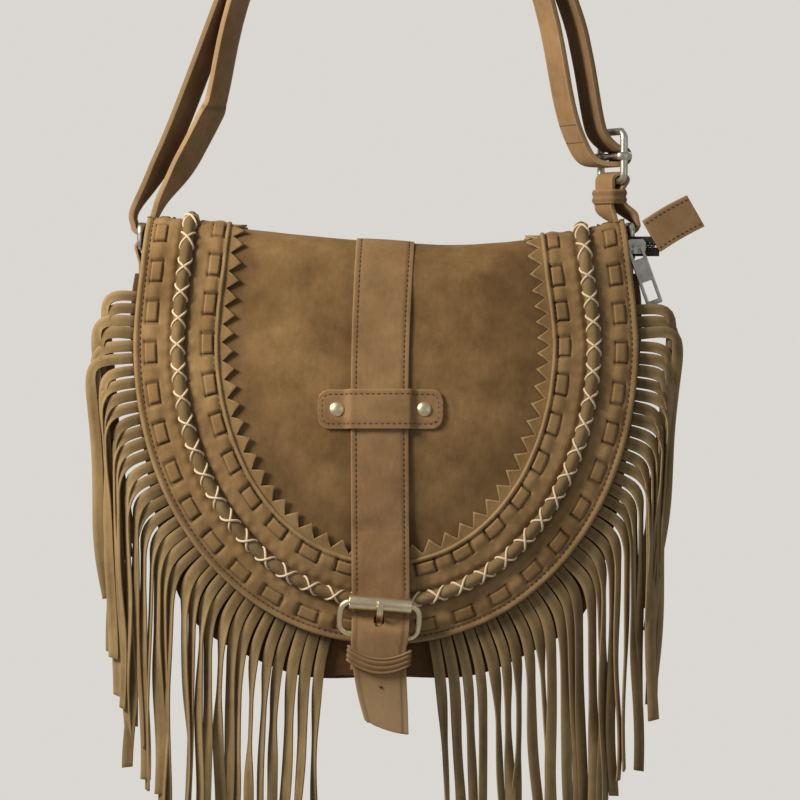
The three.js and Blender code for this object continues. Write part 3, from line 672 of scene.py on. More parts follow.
def make_lace(name, inset, node):
    rows = u_stations(inset, 1.0)

    def level(distance):
        away = abs(phase_in(distance, LACE_PITCH))
        shown = 1 - ease(away, LACE_SHOWN / 2 - 0.9, LACE_SHOWN / 2 + 0.5)
        return 0.9 + 2.35 * shown + 0.35 * shown * math.cos(away / 4)

    def place(u, v):
        distance, turn = row_at(rows, u)
        across = (v - 0.5) * (LACE_WIDTH - 0.3)
        droop = 0.35 * (2 * abs(v - 0.5)) ** 4
        return on_bag(flap_face(*u_point(turn, inset + across), level(distance) - droop))

    # Painted shade: each showing stretch of lace darkens towards its slits, where it dives under the border.
    def shade_amount(u, v):
        distance, _ = row_at(rows, u)
        return 0.8 * ease(abs(phase_in(distance, LACE_PITCH)), LACE_SHOWN / 2 - 1.3, LACE_SHOWN / 2 - 0.3)

    sheet = sheet_grid(len(rows) - 1, 6, place, painted_shade=shade_amount, wear_and_painted_light=lambda u, v: 0.35 * (abs(v - 0.5) > 0.45))
    finish_piece(name, sheet, lace_suede, thick=0.9, replaces=(node,))


make_lace("outer_lace", LACE_INSETS[0], "lace_outer")
make_lace("inner_lace", LACE_INSETS[1], "lace_inner")

# ---- Piping cord and its cross thread ----
# A rolled leather cord round the middle of the border, bound down by two cream threads that cross over
# its top and go down through the border at each side.
CROSS_PITCH = 15.6
CORD_HALF, CORD_RISE, CORD_BASE = 3.7, 4.4, 2.9
cord_suede = suede("cord_suede", (0.275, 0.190, 0.092), (0.155, 0.104, 0.046))
cord_rows = u_stations(CORD_INSET, 1.3)


def cord_place(u, v):
    distance, turn = row_at(cord_rows, u)
    pinch = 0.90 + 0.12 * (0.5 - 0.5 * math.cos(2 * math.pi * distance / CROSS_PITCH))
    angle = 2 * math.pi * v
    swell = 1 + 0.05 * noise.noise(Vector((distance / 5, math.cos(angle), math.sin(angle))))
    across = CORD_HALF * pinch * swell * math.cos(angle)
    rise = CORD_BASE + CORD_RISE * pinch * swell * math.sin(angle)
    return on_bag(flap_face(*u_point(turn, CORD_INSET + across), rise))


cord = sheet_grid(len(cord_rows) - 1, 16, cord_place)
bmesh.ops.remove_doubles(cord, verts=cord.verts, dist=0.00002)
bmesh.ops.holes_fill(cord, edges=cord.edges, sides=20)
bmesh.ops.recalc_face_normals(cord, faces=cord.faces)
finish_piece("rolled_cord", cord, cord_suede, replaces=("piping_cord",))


def tube(name, points, radius, material, closed=False, sides=3, body="bag", replaces=()):
    """A round wire or thread of one radius, in mm, along points of the frame."""
    curve = bpy.data.curves.new(name, "CURVE")
    curve.dimensions = "3D"
    curve.bevel_depth = radius * MM
    curve.bevel_resolution = sides
    curve.use_fill_caps = True
    spline = curve.splines.new("POLY")
    spline.points.add(len(points) - 1)
    for spot, point in zip(spline.points, points):
        spot.co = (*point, 1)
    spline.use_cyclic_u = closed
    shape = add_object(name + "_line", curve)
    bpy.context.view_layer.update()
    bm = bmesh.new()
    bm.from_mesh(shape.to_mesh())
    bpy.data.objects.remove(shape)
    bmesh.ops.remove_doubles(bm, verts=bm.verts, dist=0.000005)
    bmesh.ops.recalc_face_normals(bm, faces=bm.faces)
    return finish_piece(name, bm, material, body=body, replaces=replaces)


def add_texture_coat(name, texture, dark, light, rough, bump=0.0):
    """A plain dyed fibre: two colours by a texture, with its relief."""
    material, tree, shader = new_material(name)
    grain = texture(tree)
    values = {"Base Color": add_mix(tree, grain, dark, light), "Roughness": rough}
    if bump:
        values["Normal"] = add_bump(tree, grain, bump, 0.0003)
    fill_sockets(tree, shader, values)
    return material


cream_thread = add_texture_coat(
    "cream_thread", lambda tree: add_noise(tree, 900, 2, 0.5), (0.62, 0.47, 0.30), (0.88, 0.74, 0.53), 0.75,
    bump=0.5,
)
CROSS_REACH, CROSS_HALF = 5.0, 4.05
thread_rows = u_stations(CORD_INSET, 0.8)
for name, way in (("cross_thread_over", 1), ("cross_thread_under", -1)):
    route = []
    for distance, turn in thread_rows:
        phase = phase_in(distance, CROSS_PITCH)
        if abs(phase) < CROSS_REACH:
            swing = phase / CROSS_REACH
            angle = math.pi / 2 * swing
            across = CROSS_HALF * math.sin(angle)
            rise = CORD_BASE + (CORD_RISE * 0.9 + 0.35 + 0.25 * way * bell(swing, 0.4)) * math.cos(angle)
        else:
            hidden = (abs(phase) - CROSS_REACH) / (CROSS_PITCH / 2 - CROSS_REACH)
            across = math.copysign(CROSS_HALF * (1 - hidden), phase)
            rise = CORD_BASE - 2.0 * ease(hidden, 0, 0.5)
        route.append(on_bag(flap_face(*u_point(turn, CORD_INSET + way * across), rise)))
    tube(name, route, 0.68, cream_thread)

# ---- Stitch rows on the flap ----
# Dark brown machine stitching, one row inside each edge of the border. Each stitch is a short rounded
# dash that sinks into the leather at both ends.
brown_thread = add_texture_coat(
    "brown_thread", lambda tree: add_noise(tree, 1400, 2, 0.5), (0.040, 0.023, 0.012), (0.105, 0.062, 0.034), 0.7,
)


def stitch_row(name, spots, length=2.3, girth=0.72, body="bag"):
    """Stitches at spots, each a centre, a direction along the row and a direction out of the leather."""
    bm = bmesh.new()
    for centre, along, out in spots:
        along = along.normalized()
        side = out.cross(along).normalized()
        turn = Matrix((along * length / 2, side * girth / 2, out.normalized() * girth / 2)).transposed().to_4x4()
        bmesh.ops.create_icosphere(bm, subdivisions=1, radius=MM, matrix=Matrix.Translation(centre) @ turn)
    return finish_piece(name, bm, brown_thread, body=body)


def border_stitches(name, inset, pitch=3.4):
    spots = []
    for distance, turn in u_stations(inset, pitch):
        x, run = u_point(turn, inset)
        ahead = u_point(turn + 0.002, inset)
        centre = on_bag(flap_face(x, run, 2.5))
        along = on_bag(flap_face(*ahead, 2.5)) - centre
        out = on_bag(flap_face(x, run, 3.5)) - centre
        spots.append((centre, along, out))
    stitch_row(name, spots)


border_stitches("outer_border_stitches", 4.2)
border_stitches("inner_border_stitches", BORDER_WIDTH - 3.6)

# ---- Fringe ----
# Two suede strips sewn under the flap's edge, one each side of the front strap, cut into long narrow
# strands. Each strand leaves the edge square to it, droops over and hangs, and at the sides it turns
# edge on, so that the strands pack together like a louvre.
STRAND_LENGTH, STRAND_WIDTH, STRAND_PITCH = 168, 7.0, 7.25
STRAND_STEPS = 56
BUNDLE_LOW = -88
FRINGE_START = {-1: -36, 1: -45}
FRINGE_GAP_MIDDLE, FRINGE_GAP_HALF = -3, 27
fringe_suede = suede("fringe_suede", (0.350, 0.245, 0.112), (0.160, 0.104, 0.042), nap=0.5, sheen=0.10)
draw = random.Random(7)


def strand_route(x, run, out):
    """The strand's middle line and its width directions, from the flap's edge to its cut end. The topmost
    strands hang in a loose bundle in front of the others and face the front."""
    start = flap_face(x, run, -1.6)
    side, way = abs(out.x), math.copysign(1, x)
    high = ease(run, -170, -40)
    bundled = run > BUNDLE_LOW
    stand = 27 - 10 * side + 2 * high + draw.uniform(-2.5, 2.5) + (draw.uniform(0, 6) if bundled else 0)
    bend = 11 - 7 * side
    turned = max(math.acos(max(-1, min(1, -out.y))), math.radians(draw.uniform(30, 75)))
    twist = turned * way
    if bundled:
        late = -twist * draw.uniform(0.65, 1.15)
    elif draw.random() < 0.4:
        late = -twist * draw.uniform(0.4, 1.1)
    else:
        late = math.radians(draw.uniform(-30, 30))
    late_start, late_span = (-6, 22) if bundled else (draw.uniform(15, 70), 45)
    fan = 0.05 * way * (1 - side) - (0.10 if bundled else 0.05 * side * high) * way
    fan += draw.uniform(-0.025, 0.025)
    lean = draw.uniform(-3, 3) - 4 * side * (1 - high) - (draw.uniform(2, 9) if bundled else 0)
    curl, phase = draw.uniform(0.6, 2.4), draw.uniform(0, 6.3)
    length = STRAND_LENGTH + draw.uniform(-5, 3)
    spot = Vector((start.x, start.z))
    route = []
    for i in range(STRAND_STEPS + 1):
        gone = length * i / STRAND_STEPS
        weight = 1 / (1 + math.exp((gone - stand) / bend))
        heading = (out * weight + Vector((fan, -1)) * (1 - weight)).normalized()
        if i:
            spot += heading * (length / STRAND_STEPS)
        loose = ease(gone, 15, length)
        turning = ease(gone, stand - 12, stand + 12 + 45 * (1 - side))
        angle = twist * turning + late * ease(gone, stand + late_start, stand + late_start + late_span)
        shift_x = curl * math.sin(gone / 22 + phase) * loose
        shift_y = lean * loose + curl * math.cos(gone / 27 + phase) * loose
        centre = Vector((spot.x + shift_x, start.y + shift_y, spot.y))
        flat = Vector((-heading.y, 0, heading.x))
        across = flat * math.cos(angle) + Vector((0, 1, 0)) * math.sin(angle)
        route.append((centre, across))
    return route


def make_fringe(name, side, node):
    bm = bmesh.new()
    stations = u_stations(0, STRAND_PITCH)
    for _, turn in stations:
        x, run = u_point(turn, 0)
        if x * side < 0 or run > FRINGE_START[side] or abs(x - FRINGE_GAP_MIDDLE) < FRINGE_GAP_HALF:
            continue
        ahead, behind = Vector(u_point(turn + 0.004, 0)), Vector(u_point(turn - 0.004, 0))
        along = (ahead - behind).normalized()
        out = Vector((along.y, -along.x))
        route = strand_route(x, run, out)
        width = STRAND_WIDTH * draw.uniform(0.86, 1.04)
        slant = draw.uniform(-0.25, 0.25)
        shade = max(0, draw.gauss(0.08, 0.16))

        def place(u, v):
            centre, across = row_at(route, u)
            cut = Vector((0, 0, slant * (v - 0.5) * width)) if u > 0.99 else Vector()
            return on_bag(centre + across * (v - 0.5) * width + cut)

        # Painted shade darkens each strand's root just under the flap's edge, on top of a random darkening per
        # strand.
        strand = sheet_grid(
            STRAND_STEPS, 2, place, painted_shade=lambda u, v: min(0.5, shade + 0.35 * (1 - ease(u, 0, 0.08))),
            wear_and_painted_light=lambda u, v: 0.8 if abs(v - 0.5) > 0.4 else 0.0,
        )
        mesh = bpy.data.meshes.new("strand")
        strand.to_mesh(mesh)
        strand.free()
        bm.from_mesh(mesh)
        bpy.data.meshes.remove(mesh)
    strip = finish_piece(name, bm, fringe_suede, thick=1.3, offset=0, replaces=(node,))
    strip.modifiers.new("flat_faces", "WEIGHTED_NORMAL").weight = 100


make_fringe("left_fringe", -1, "fringe_left")
make_fringe("right_fringe", 1, "fringe_right")

# ---- Front strap ----
# A smoother tan strap, sewn down over the flap from the back seam, then free at its end: it goes behind
# the buckle's roller, over the heel bar and down through the keeper to its slanted cut end.
STRAP_THICK = 2.4
ROLLER_Z, SLANT_Z = -212, -262
HOLE_X, HOLE_Z, HOLE_HALF_X, HOLE_HALF_Z = -3.9, -228.6, 2.9, 4.2
strap_leather = suede("strap_leather", (0.365, 0.225, 0.112), (0.225, 0.132, 0.060), nap=0.22, sheen=0.05)
STRAP_MIDDLES = smooth_line(
    [(0.6, 20), (-2.2, -30), (-3.6, -90), (-3.4, -160), (-3, -226), (-4.0, -246), (-3.2, -262), (-1.4, -280),
     (1.4, -300)], 8,
)
STRAP_HALVES = smooth_line(
    [(17.6, 20), (17.2, -90), (17.2, -226), (16.2, -246), (15.6, -262), (14.6, -280), (12.4, -300)], 8,
)
strap_free = smooth_line(
    [(-39.9, -176), (-43.6, -193), (-45, -206), (-44.9, -220), (-46.4, -226), (-49.8, -231), (-52.2, -236),
     (-52.4, -246), (-51.6, -262), (-51, -278), (-53.5, -294)], 8,
)


def strap_line():
    """The strap's inner face from the back seam to its end, as points in Y and Z with their run."""
    line = []
    run = ARM_TOP
    while run > -172:
        line.append(("flap", run))
        run -= 2.4
    return line + [("free", point) for point in strap_free]


strap_rows = strap_line()


def strap_middle(row, across, lift):
    kind, where = row
    if kind == "flap":
        x = at_height(STRAP_MIDDLES, face_line(where)[1]) + across
        sunk = 1.7 * (ease(where, -45, -5) if where < 20 else 1)
        return flap_face(x, where, lift + 0.35 - sunk + inner_puff(x, where) * 0.6)
    y, z = where
    x = at_height(STRAP_MIDDLES, z) + across
    return Vector((x, y - lift, z))


def strap_half(row):
    """Half the strap's width at a row."""
    z = face_line(row[1])[1] if row[0] == "flap" else row[1][1]
    return at_height(STRAP_HALVES, z)


def strap_place(u, v):
    row = row_at(strap_rows, u)
    half = strap_half(row)
    side = 2 * v - 1
    edge = abs(side) * half
    lift = STRAP_THICK + 0.35 * (1 - side**4) - 0.35 * bell(half - edge - 3, 0.6)
    point = strap_middle(row, side * half, lift)
    if row[0] == "free" and row[1][1] < SLANT_Z:
        point.z -= (SLANT_Z - row[1][1]) / 32 * (4.4 * side - 1.6 * side**2)
    return on_bag(point)


# Painted shade: a dark line in the stitch groove about 3 mm inside each edge of the strap.
def strap_painted_shade(u, v):
    half = strap_half(row_at(strap_rows, u))
    edge = half - abs(2 * v - 1) * half
    return 0.42 * bell(edge - 3.2, 0.8)


# The strap's cut edges are paler from wear, and its free end below the keeper is paled as painted light.
strap = sheet_grid(len(strap_rows) - 1, 34, strap_place, painted_shade=strap_painted_shade,
                   wear_and_painted_light=lambda u, v: 0.6 * (abs(2 * v - 1) > 0.97) + 0.75 * ease(u, 0.90, 0.94))
doomed = []
for quad in strap.faces:
    middle = quad.calc_center_median()
    x, z = middle.x / MM, (middle.z - TOP) / MM
    if middle.y < -0.03 and math.hypot((x - HOLE_X) / HOLE_HALF_X, (z - HOLE_Z) / HOLE_HALF_Z) < 1:
        doomed.append(quad)
bmesh.ops.delete(strap, geom=doomed, context="FACES")
finish_piece("front_strap_leather", strap, strap_leather, thick=STRAP_THICK, bevel=0.5,
             replaces=("front_strap",))

STITCH_PITCH = 3.1
spots = []
for side in (-1, 1):
    distance = 0.0
    previous = None
    for row in strap_rows:
        if row[0] == "free" and row[1][1] < ROLLER_Z:
            break
        across = side * (strap_half(row) - 3)
        point = strap_middle(row, across, STRAP_THICK + 0.05)
        if previous is not None:
            span = (point - previous).length
            while distance + span >= STITCH_PITCH:
                share = (STITCH_PITCH - distance) / span
                spot = previous.lerp(point, share)
                out = strap_middle(row, across, STRAP_THICK + 1.05) - point
                spots.append((on_bag(spot), point - previous, out))
                previous = spot
                span = (point - previous).length
                distance = 0.0
            distance += span
        previous = point
stitch_row("front_strap_stitches", spots, length=2.2)
awl_mark = on_bag(Vector((-3, -51.4 - STRAP_THICK - 0.3, -268.5)))
stitch_row("spare_hole", [(awl_mark, Vector((1, 0, 0)), Vector((0, -1, 0)))], length=2.6, girth=1.6)

# ---- Cross tab ----
# A short tab with clipped corners across the strap, stitched all round, riveted at both ends and bowed
# over the strap in the middle.
TAB_X, TAB_Z = -3.2, -104.4
TAB_HALF_LENGTH, TAB_HALF_WIDTH, TAB_CORNER = 37.5, 11.5, 7
TAB_THICK = 1.8


def tab_half_width(x):
    """Half the tab's width at a distance from its middle."""
    into_corner = max(0, abs(x) - (TAB_HALF_LENGTH - TAB_CORNER)) / TAB_CORNER
    return TAB_HALF_WIDTH - TAB_CORNER * (1 - math.sqrt(max(0, 1 - into_corner**2)))


def tab_lift(x):
    """The tab's underside over the flap: low at the ends, high where it crosses the strap."""
    return 0.5 + 3.0 * (1 - ease(abs(x), 17.0, 22.5))


def tab_point(x, across, lift=0.0):
    run = TAB_Z + across
    under = inner_puff(TAB_X + x, run)
    return flap_face(TAB_X + x, run, under * 0.75 + tab_lift(x) + TAB_THICK + lift)


def tab_place(u, v):
    x = (2 * u - 1) * TAB_HALF_LENGTH
    half = max(tab_half_width(x), 0.5)
    side = 2 * v - 1
    sunk = 0.3 * bell(half - abs(side) * half - 2.8, 0.6)
    return on_bag(tab_point(x, side * half, 0.25 * (1 - side**6) - sunk))


# Painted shade: a dark line in the tab's stitch groove; its long edges are paler from wear.
tab = sheet_grid(75, 22, tab_place, wear_and_painted_light=lambda u, v: 0.6 * (abs(2 * v - 1) > 0.93),
                 painted_shade=lambda u, v: 0.3 * bell((1 - abs(2 * v - 1)) * 11.5 - 2.8, 0.6))
finish_piece("cross_tab_leather", tab, strap_leather, thick=TAB_THICK, bevel=0.4, replaces=("cross_tab",))


def wire_loop(width, height, corner, bow=0.0, per_corner=7, per_side=8):
    """Points round a rectangle with round corners, with its two short sides bowed out."""
    points = []
    half_w, half_h = width / 2 - corner, height / 2 - corner
    middles = ((half_w, half_h), (-half_w, half_h), (-half_w, -half_h), (half_w, -half_h))
    for k, (cx, cz) in enumerate(middles):
        for i in range(per_corner):
            angle = math.pi / 2 * (k + i / (per_corner - 1))
            points.append([cx + corner * math.cos(angle), cz + corner * math.sin(angle)])
        start, (nx, nz) = points[-1], middles[(k + 1) % 4]
        end = (nx + corner * math.cos(angle), nz + corner * math.sin(angle))
        for i in range(1, per_side):
            points.append([start[j] + (end[j] - start[j]) * i / per_side for j in range(2)])
    for point in points:
        point[0] += math.copysign(bow * max(0, 1 - (2 * point[1] / height) ** 2), point[0])
    return points


ring_line = wire_loop(2 * TAB_HALF_LENGTH - 5.6, 2 * TAB_HALF_WIDTH - 5.6, 5, per_corner=24, per_side=120)
spots = []
gathered = 3.0
for (x0, w0), (x1, w1) in zip(ring_line, ring_line[1:] + ring_line[:1]):
    a, b = tab_point(x0, w0, 0.1), tab_point(x1, w1, 0.1)
    gathered += (b - a).length
    if gathered >= 3.0:
        gathered = 0.0
        spots.append((on_bag(a), b - a, tab_point(x0, w0, 1.1) - a))
stitch_row("cross_tab_stitches", spots, length=2.1)

# ---- Rivets ----
# Two shallow domed caps of pale antique brass, each pressed on a shank through the tab and the flap. A
# wider foot closes each shank behind the leather.


def build_metal(name, bright, dull, rough, scratch):
    """Plated metal with a dull film in patches and fine wear lines."""
    material, tree, shader = new_material(name)
    film = add_range(tree, add_noise(tree, 260, 4, 0.6), 0.35, 0.7)
    lines = add_noise(tree, 900, 3, 0.55, stretch=(0.25, 1, 1))
    fill_sockets(tree, shader, {
        "Base Color": add_mix(tree, film, bright, dull),
        "Roughness": add_math(tree, "ADD", blended(tree, film, 0.16, lines, 0.14), rough),
        "Normal": add_bump(tree, lines, scratch, 0.0001),
        "Metallic": 1.0,
    })
    return material


pale_brass = build_metal("pale_brass", (0.95, 0.84, 0.57), (0.80, 0.68, 0.43), 0.26, 0.3)
dull_nickel = build_metal("dull_nickel", (0.82, 0.78, 0.69), (0.58, 0.53, 0.44), 0.24, 0.3)


def spun(name, profile, place, material, body="bag", steps=40, replaces=()):
    """A turned piece: a profile of radius and height, spun round Z and then placed."""
    bm = bmesh.new()
    line = [bm.verts.new((r * MM, 0, h * MM)) for r, h in profile]
    edges = [bm.edges.new(pair) for pair in zip(line, line[1:])]
    bmesh.ops.spin(bm, geom=line + edges, axis=(0, 0, 1), cent=(0, 0, 0), angle=2 * math.pi, steps=steps,
                   use_merge=True)
    bmesh.ops.remove_doubles(bm, verts=bm.verts, dist=0.000005)
    bmesh.ops.recalc_face_normals(bm, faces=bm.faces)
    bmesh.ops.transform(bm, matrix=place, verts=bm.verts)
    return finish_piece(name, bm, material, body=body, replaces=replaces)


CAP = smooth_line([(0, 2.1), (1.6, 1.95), (3.1, 1.45), (4.1, 0.75), (4.5, 0.15)], 4)
rivet_profile = [tuple(p) for p in CAP] + [(4.45, -0.05), (4.0, -0.1), (1.5, -0.1), (1.5, -4.2), (3.4, -4.2),
                                           (3.4, -5.0), (0, -5.0)]
for name, side, node in (("left_rivet", -1, "rivet_left"), ("right_rivet", 1, "rivet_right")):
    seat = tab_point(side * 26, 0, 0.15)
    out = tab_point(side * 26, 0, 1.15) - seat
    place = Matrix.Translation(on_bag(seat)) @ out.to_track_quat("Z", "Y").to_matrix().to_4x4()
    spun(name, rivet_profile, place, pale_brass, replaces=(node,))

# ---- Front buckle ----
# A heel-bar roller buckle in pale brass: a wire frame with bowed sides, a rolled sheet sleeve that turns
# on its top bar, and a tongue looped round the heel bar, through the strap and on to the roller.
BUCKLE_TILT = math.radians(4.5)
BUCKLE_LEAN = math.atan2(4.5, 20)
BUCKLE_HEIGHT, BUCKLE_WIDTH = 20, 44
buckle_at = Matrix.Translation(bag_point(-3, -52.2, -219)) @ Matrix.Rotation(BUCKLE_TILT, 4, "Y")
frame_at = buckle_at @ Matrix.Rotation(BUCKLE_LEAN, 4, "X")
heel = Vector((0, BUCKLE_HEIGHT * math.sin(BUCKLE_LEAN), -BUCKLE_HEIGHT * math.cos(BUCKLE_LEAN)))
frame_points = [frame_at @ (Vector((x, 0, z - BUCKLE_HEIGHT / 2)) * MM)
                for x, z in wire_loop(BUCKLE_WIDTH, BUCKLE_HEIGHT, 4.5, bow=1.6)]
tube("buckle_frame_wire", frame_points, 1.85, pale_brass, closed=True, sides=5, body="buckle_frame_body",
     replaces=("buckle_frame",))

roller = bmesh.new()
bmesh.ops.create_circle(roller, cap_ends=False, radius=4.3 * MM, segments=120)
for vert in roller.verts:
    seam = math.degrees(math.atan2(vert.co.x, vert.co.y)) - 171
    vert.co *= 1 - 0.22 * bell(seam, 2.6)
bmesh.ops.rotate(roller, verts=roller.verts, matrix=Matrix.Rotation(math.pi / 2, 3, "Y"))
bmesh.ops.translate(roller, verts=roller.verts, vec=(-18.7 * MM, 0, 0))
rim = list(roller.edges)
for shift, scale in ((0.5, 1.0), (36.4, 1.0), (0.5, 0.93), (0.0, 0.52), (-37.4, 1.0)):
    made = bmesh.ops.extrude_edge_only(roller, edges=rim)["geom"]
    rim = [item for item in made if isinstance(item, bmesh.types.BMEdge)]
    moved = [item for item in made if isinstance(item, bmesh.types.BMVert)]
    bmesh.ops.translate(roller, verts=moved, vec=(shift * MM, 0, 0))
    for vert in moved:
        vert.co.y *= scale
        vert.co.z *= scale
first_rim = [edge for edge in roller.edges if edge.is_boundary]
bmesh.ops.bridge_loops(roller, edges=first_rim)
bmesh.ops.recalc_face_normals(roller, faces=roller.faces)
bmesh.ops.transform(roller, matrix=buckle_at, verts=roller.verts)
finish_piece("roller_sleeve", roller, pale_brass, body="buckle_roller_body", replaces=("buckle_roller",))


def strip(
    line, width, across=Vector((1, 0, 0)), columns=8, crown=0.0, closed=False, taper=None, ridges=0, painted_shade=None,
):
    """A flat strip along a line of points in mm. across is one direction, or one for each point."""
    rows = len(line)
    directions = across if isinstance(across, list) else [across] * rows

    def place(u, v):
        i = round(u * (rows if closed else rows - 1))
        here, direction = line[i % rows], directions[i % rows]
        before = line[(i - 1) % rows] if closed else line[max(0, i - 1)]
        after = line[(i + 1) % rows] if closed else line[min(rows - 1, i + 1)]
        out = direction.cross(after - before).normalized()
        side = 2 * v - 1
        bulge = crown * (1 - side**2)
        if ridges:
            bulge += 0.35 * math.cos(ridges * math.pi * side)
        span = width * (taper(u) if taper else 1)
        return here + direction * side * span / 2 + out * bulge

    # Painted shade in the grooves between a keeper's ridges.
    def shade_between_ridges(u, v):
        return 0.35 * (0.5 - 0.5 * math.cos(ridges * math.pi * (2 * v - 1))) ** 2

    bm = sheet_grid(rows if closed else rows - 1, columns, place, painted_shade=shade_between_ridges if ridges else painted_shade,
                    wear_and_painted_light=lambda u, v: 0.6 * (abs(2 * v - 1) > 0.9))
    if closed:
        bmesh.ops.remove_doubles(bm, verts=bm.verts, dist=0.001)
    return bm


def lay(bm, place):
    """Scales a strip from mm and puts it where its piece goes."""
    bmesh.ops.transform(bm, matrix=place @ Matrix.Scale(MM, 4), verts=bm.verts)
    return bm


def leather_strip(name, sheet, place, thick, bevel, replaces=()):
    """A strip of strap leather, as thick on both sides of its line."""
    finish_piece(name, lay(sheet, place), strap_leather, thick=thick, offset=0, bevel=bevel, replaces=replaces)


bag_at = Matrix.Translation((0, 0, TOP))
tongue_line = []
for k in range(14):
    angle = math.radians(-60 - 290 * k / 13)
    tongue_line.append(Vector((0, heel.y + 2.75 * math.cos(angle), heel.z + 2.75 * math.sin(angle))))
tongue_line += [Vector((0, y, z)) for y, z in smooth_line(
    [(heel.y - 1.4, heel.z + 3.4), (3.4, -12), (1.8, -9.6), (-1.2, -7.5), (-4.2, -5.4), (-5.6, -2.2),
     (-5.65, 2.2)], 5)]
tongue = strip(tongue_line, 3.6, columns=4, crown=0.25, taper=lambda u: 1 - 0.25 * ease(u, 0.8, 1))
finish_piece("buckle_tongue_pin", lay(tongue, buckle_at), pale_brass, body="buckle_tongue_body", thick=1.6,
             offset=0, bevel=0.45, replaces=("buckle_tongue",))

# ---- Buckle chape and keeper ----
# A short leather sewn to the front panel, folded round the heel bar with a slot for the tongue, and the
# keeper, a narrow folded loop that holds the strap's free end down.
chape_line = [Vector((0, y, z)) for y, z in smooth_line(
    [(21.6, -44), (21.3, -36), (17.8, -32), (13.4, -28.6), (10.2, -25.4), (heel.y + 3.5, heel.z - 1.5),
     (heel.y + 2.2, heel.z + 2.6), (heel.y - 1.4, heel.z + 3.2), (heel.y - 3.3, heel.z + 0.4), (heel.y - 0.6, -24.2),
     (7.6, -27.6), (11.2, -30.4), (15.5, -34), (18.9, -37.5), (19.0, -44)], 4)]
chape = strip(chape_line, 30, columns=16)
slot = [quad for quad in chape.faces
        if abs(quad.calc_center_median().x) < 2.6 and quad.calc_center_median().z > heel.z - 4.5]
bmesh.ops.delete(chape, geom=slot, context="FACES")
leather_strip("chape_leather", chape, buckle_at, 1.5, 0.4, replaces=("buckle_chape",))

keeper_line = []
for x, y in wire_loop(36.6, 5.4, 2.2, per_corner=6, per_side=14):
    droop = 6.0 * (1 - (x / 18.3) ** 2) * (1 if y < 0 else 0.3)
    keeper_line.append(Vector((x + 1.4, y - 0.95, -30.6 - droop)))
keeper = strip(keeper_line, 9.2, across=Vector((0, 0, 1)), columns=18, closed=True, ridges=3)
leather_strip("keeper_leather", keeper, buckle_at, 1.7, 0.5, replaces=("buckle_keeper",))

# ---- D-rings and their tabs ----
# A nickel-plated wire ring at each top corner, and the folded leather tab that holds it to the gusset.
# The ring has round corners, and its tab folds round its lower bar.
RING_X, RING_Z, BAND_Y = 149.5, -1, 14.5
RING_WIDTH, RING_HEIGHT, RING_WIRE = 30.4, 13, 2.15


def ring_tab(name, side, node):
    low = RING_Z - RING_HEIGHT / 2
    turns = [math.radians(a) for a in range(-120, 121, 20)]
    round_bar = [(-3.9 * math.sin(a), low + 3.9 * math.cos(a)) for a in turns]
    route = smooth_line([(1.2, -45), (1.0, -30), (1.3, -17)], 4) + [Vector(p) for p in round_bar]
    route += smooth_line([(-1.3, -17), (-1.0, -30), (-1.2, -45)], 4)
    line = [Vector((side * RING_X + x, BAND_Y, z)) for x, z in route]
    sheet = strip(line, 18, across=Vector((0, 1, 0)), columns=10)
    leather_strip(name, sheet, bag_at, 1.6, 0.4, replaces=(node,))


for name, side in (("left", -1), ("right", 1)):
    points = [bag_point(side * RING_X, BAND_Y + y, RING_Z + z) for y, z in wire_loop(RING_WIDTH, RING_HEIGHT, 4)]
    tube(name + "_d_ring", points, RING_WIRE, dull_nickel, closed=True, sides=5, body=name + "_ring_body",
         replaces=(name + "_ring",))
    ring_tab(name + "_tab_leather", side, name + "_ring_tab")

# ---- Shoulder strap ----
# One endless band of leather, seamed just above the slide buckle. It is doubled: two strands rise from
# the left ring and two from the slide buckle's middle bar, and they arch over the hanging point.
HANG = 400
BAND_WIDTH, BAND_THICK = 23.4, 3
SLIDE_X, SLIDE_Z, SLIDE_TURN = 139, 48, math.radians(23)


def arc(centre, radius, start, end, count):
    steps = [math.radians(start + (end - start) * i / (count - 1)) for i in range(count)]
    return [(centre[0] + radius * math.cos(a), centre[1] + radius * math.sin(a)) for a in steps]


band_route = (
    arc((0, HANG - 15.5), 20.6, 90, 160, 4)
    + [(-43, 335), (-72, 215), (-99, 141), (-126, 71), (-141, 38), (-154.6, 15.1)]
    + arc((-RING_X, 6.1), 5.1, 180, 360, 6)
    + [(-138, 21), (-128, 36), (-118.5, 53), (-109, 71), (-105, 80), (-102.5, 90), (-91, 141), (-64, 215),
       (-33, 335)]
    + arc((0, HANG - 15.5), 17, 160, 20, 7)
    + [(35, 335), (71, 215), (97, 141), (109.5, 80), (117, 57), (125, 45)]
    + arc((SLIDE_X, SLIDE_Z), 5.1, 255, 460, 7)
    + [(130.8, 60), (126.8, 72), (120.2, 109), (111.5, 141), (82, 215), (45, 335)]
    + arc((0, HANG - 15.5), 20.6, 20, 66, 3)
)
band_line = [Vector((x, BAND_Y, z)) for x, z in smooth_line(band_route, 5, closed=True)]
BETWEEN_LEFT = smooth_line([(-147, 0), (-133, 38), (-117, 72), (-95, 141), (-68, 215), (-38, 335), (0, 404)], 4)
BETWEEN_RIGHT = smooth_line([(139, 40), (125, 62), (115, 109), (104, 141), (76, 215), (40, 335), (0, 404)], 4)


def is_outer(point):
    """Whether a point of the band is on one of the two outer strands."""
    middle = at_height(BETWEEN_LEFT if point.x < 0 else BETWEEN_RIGHT, point.z)
    return abs(point.x) > abs(middle)


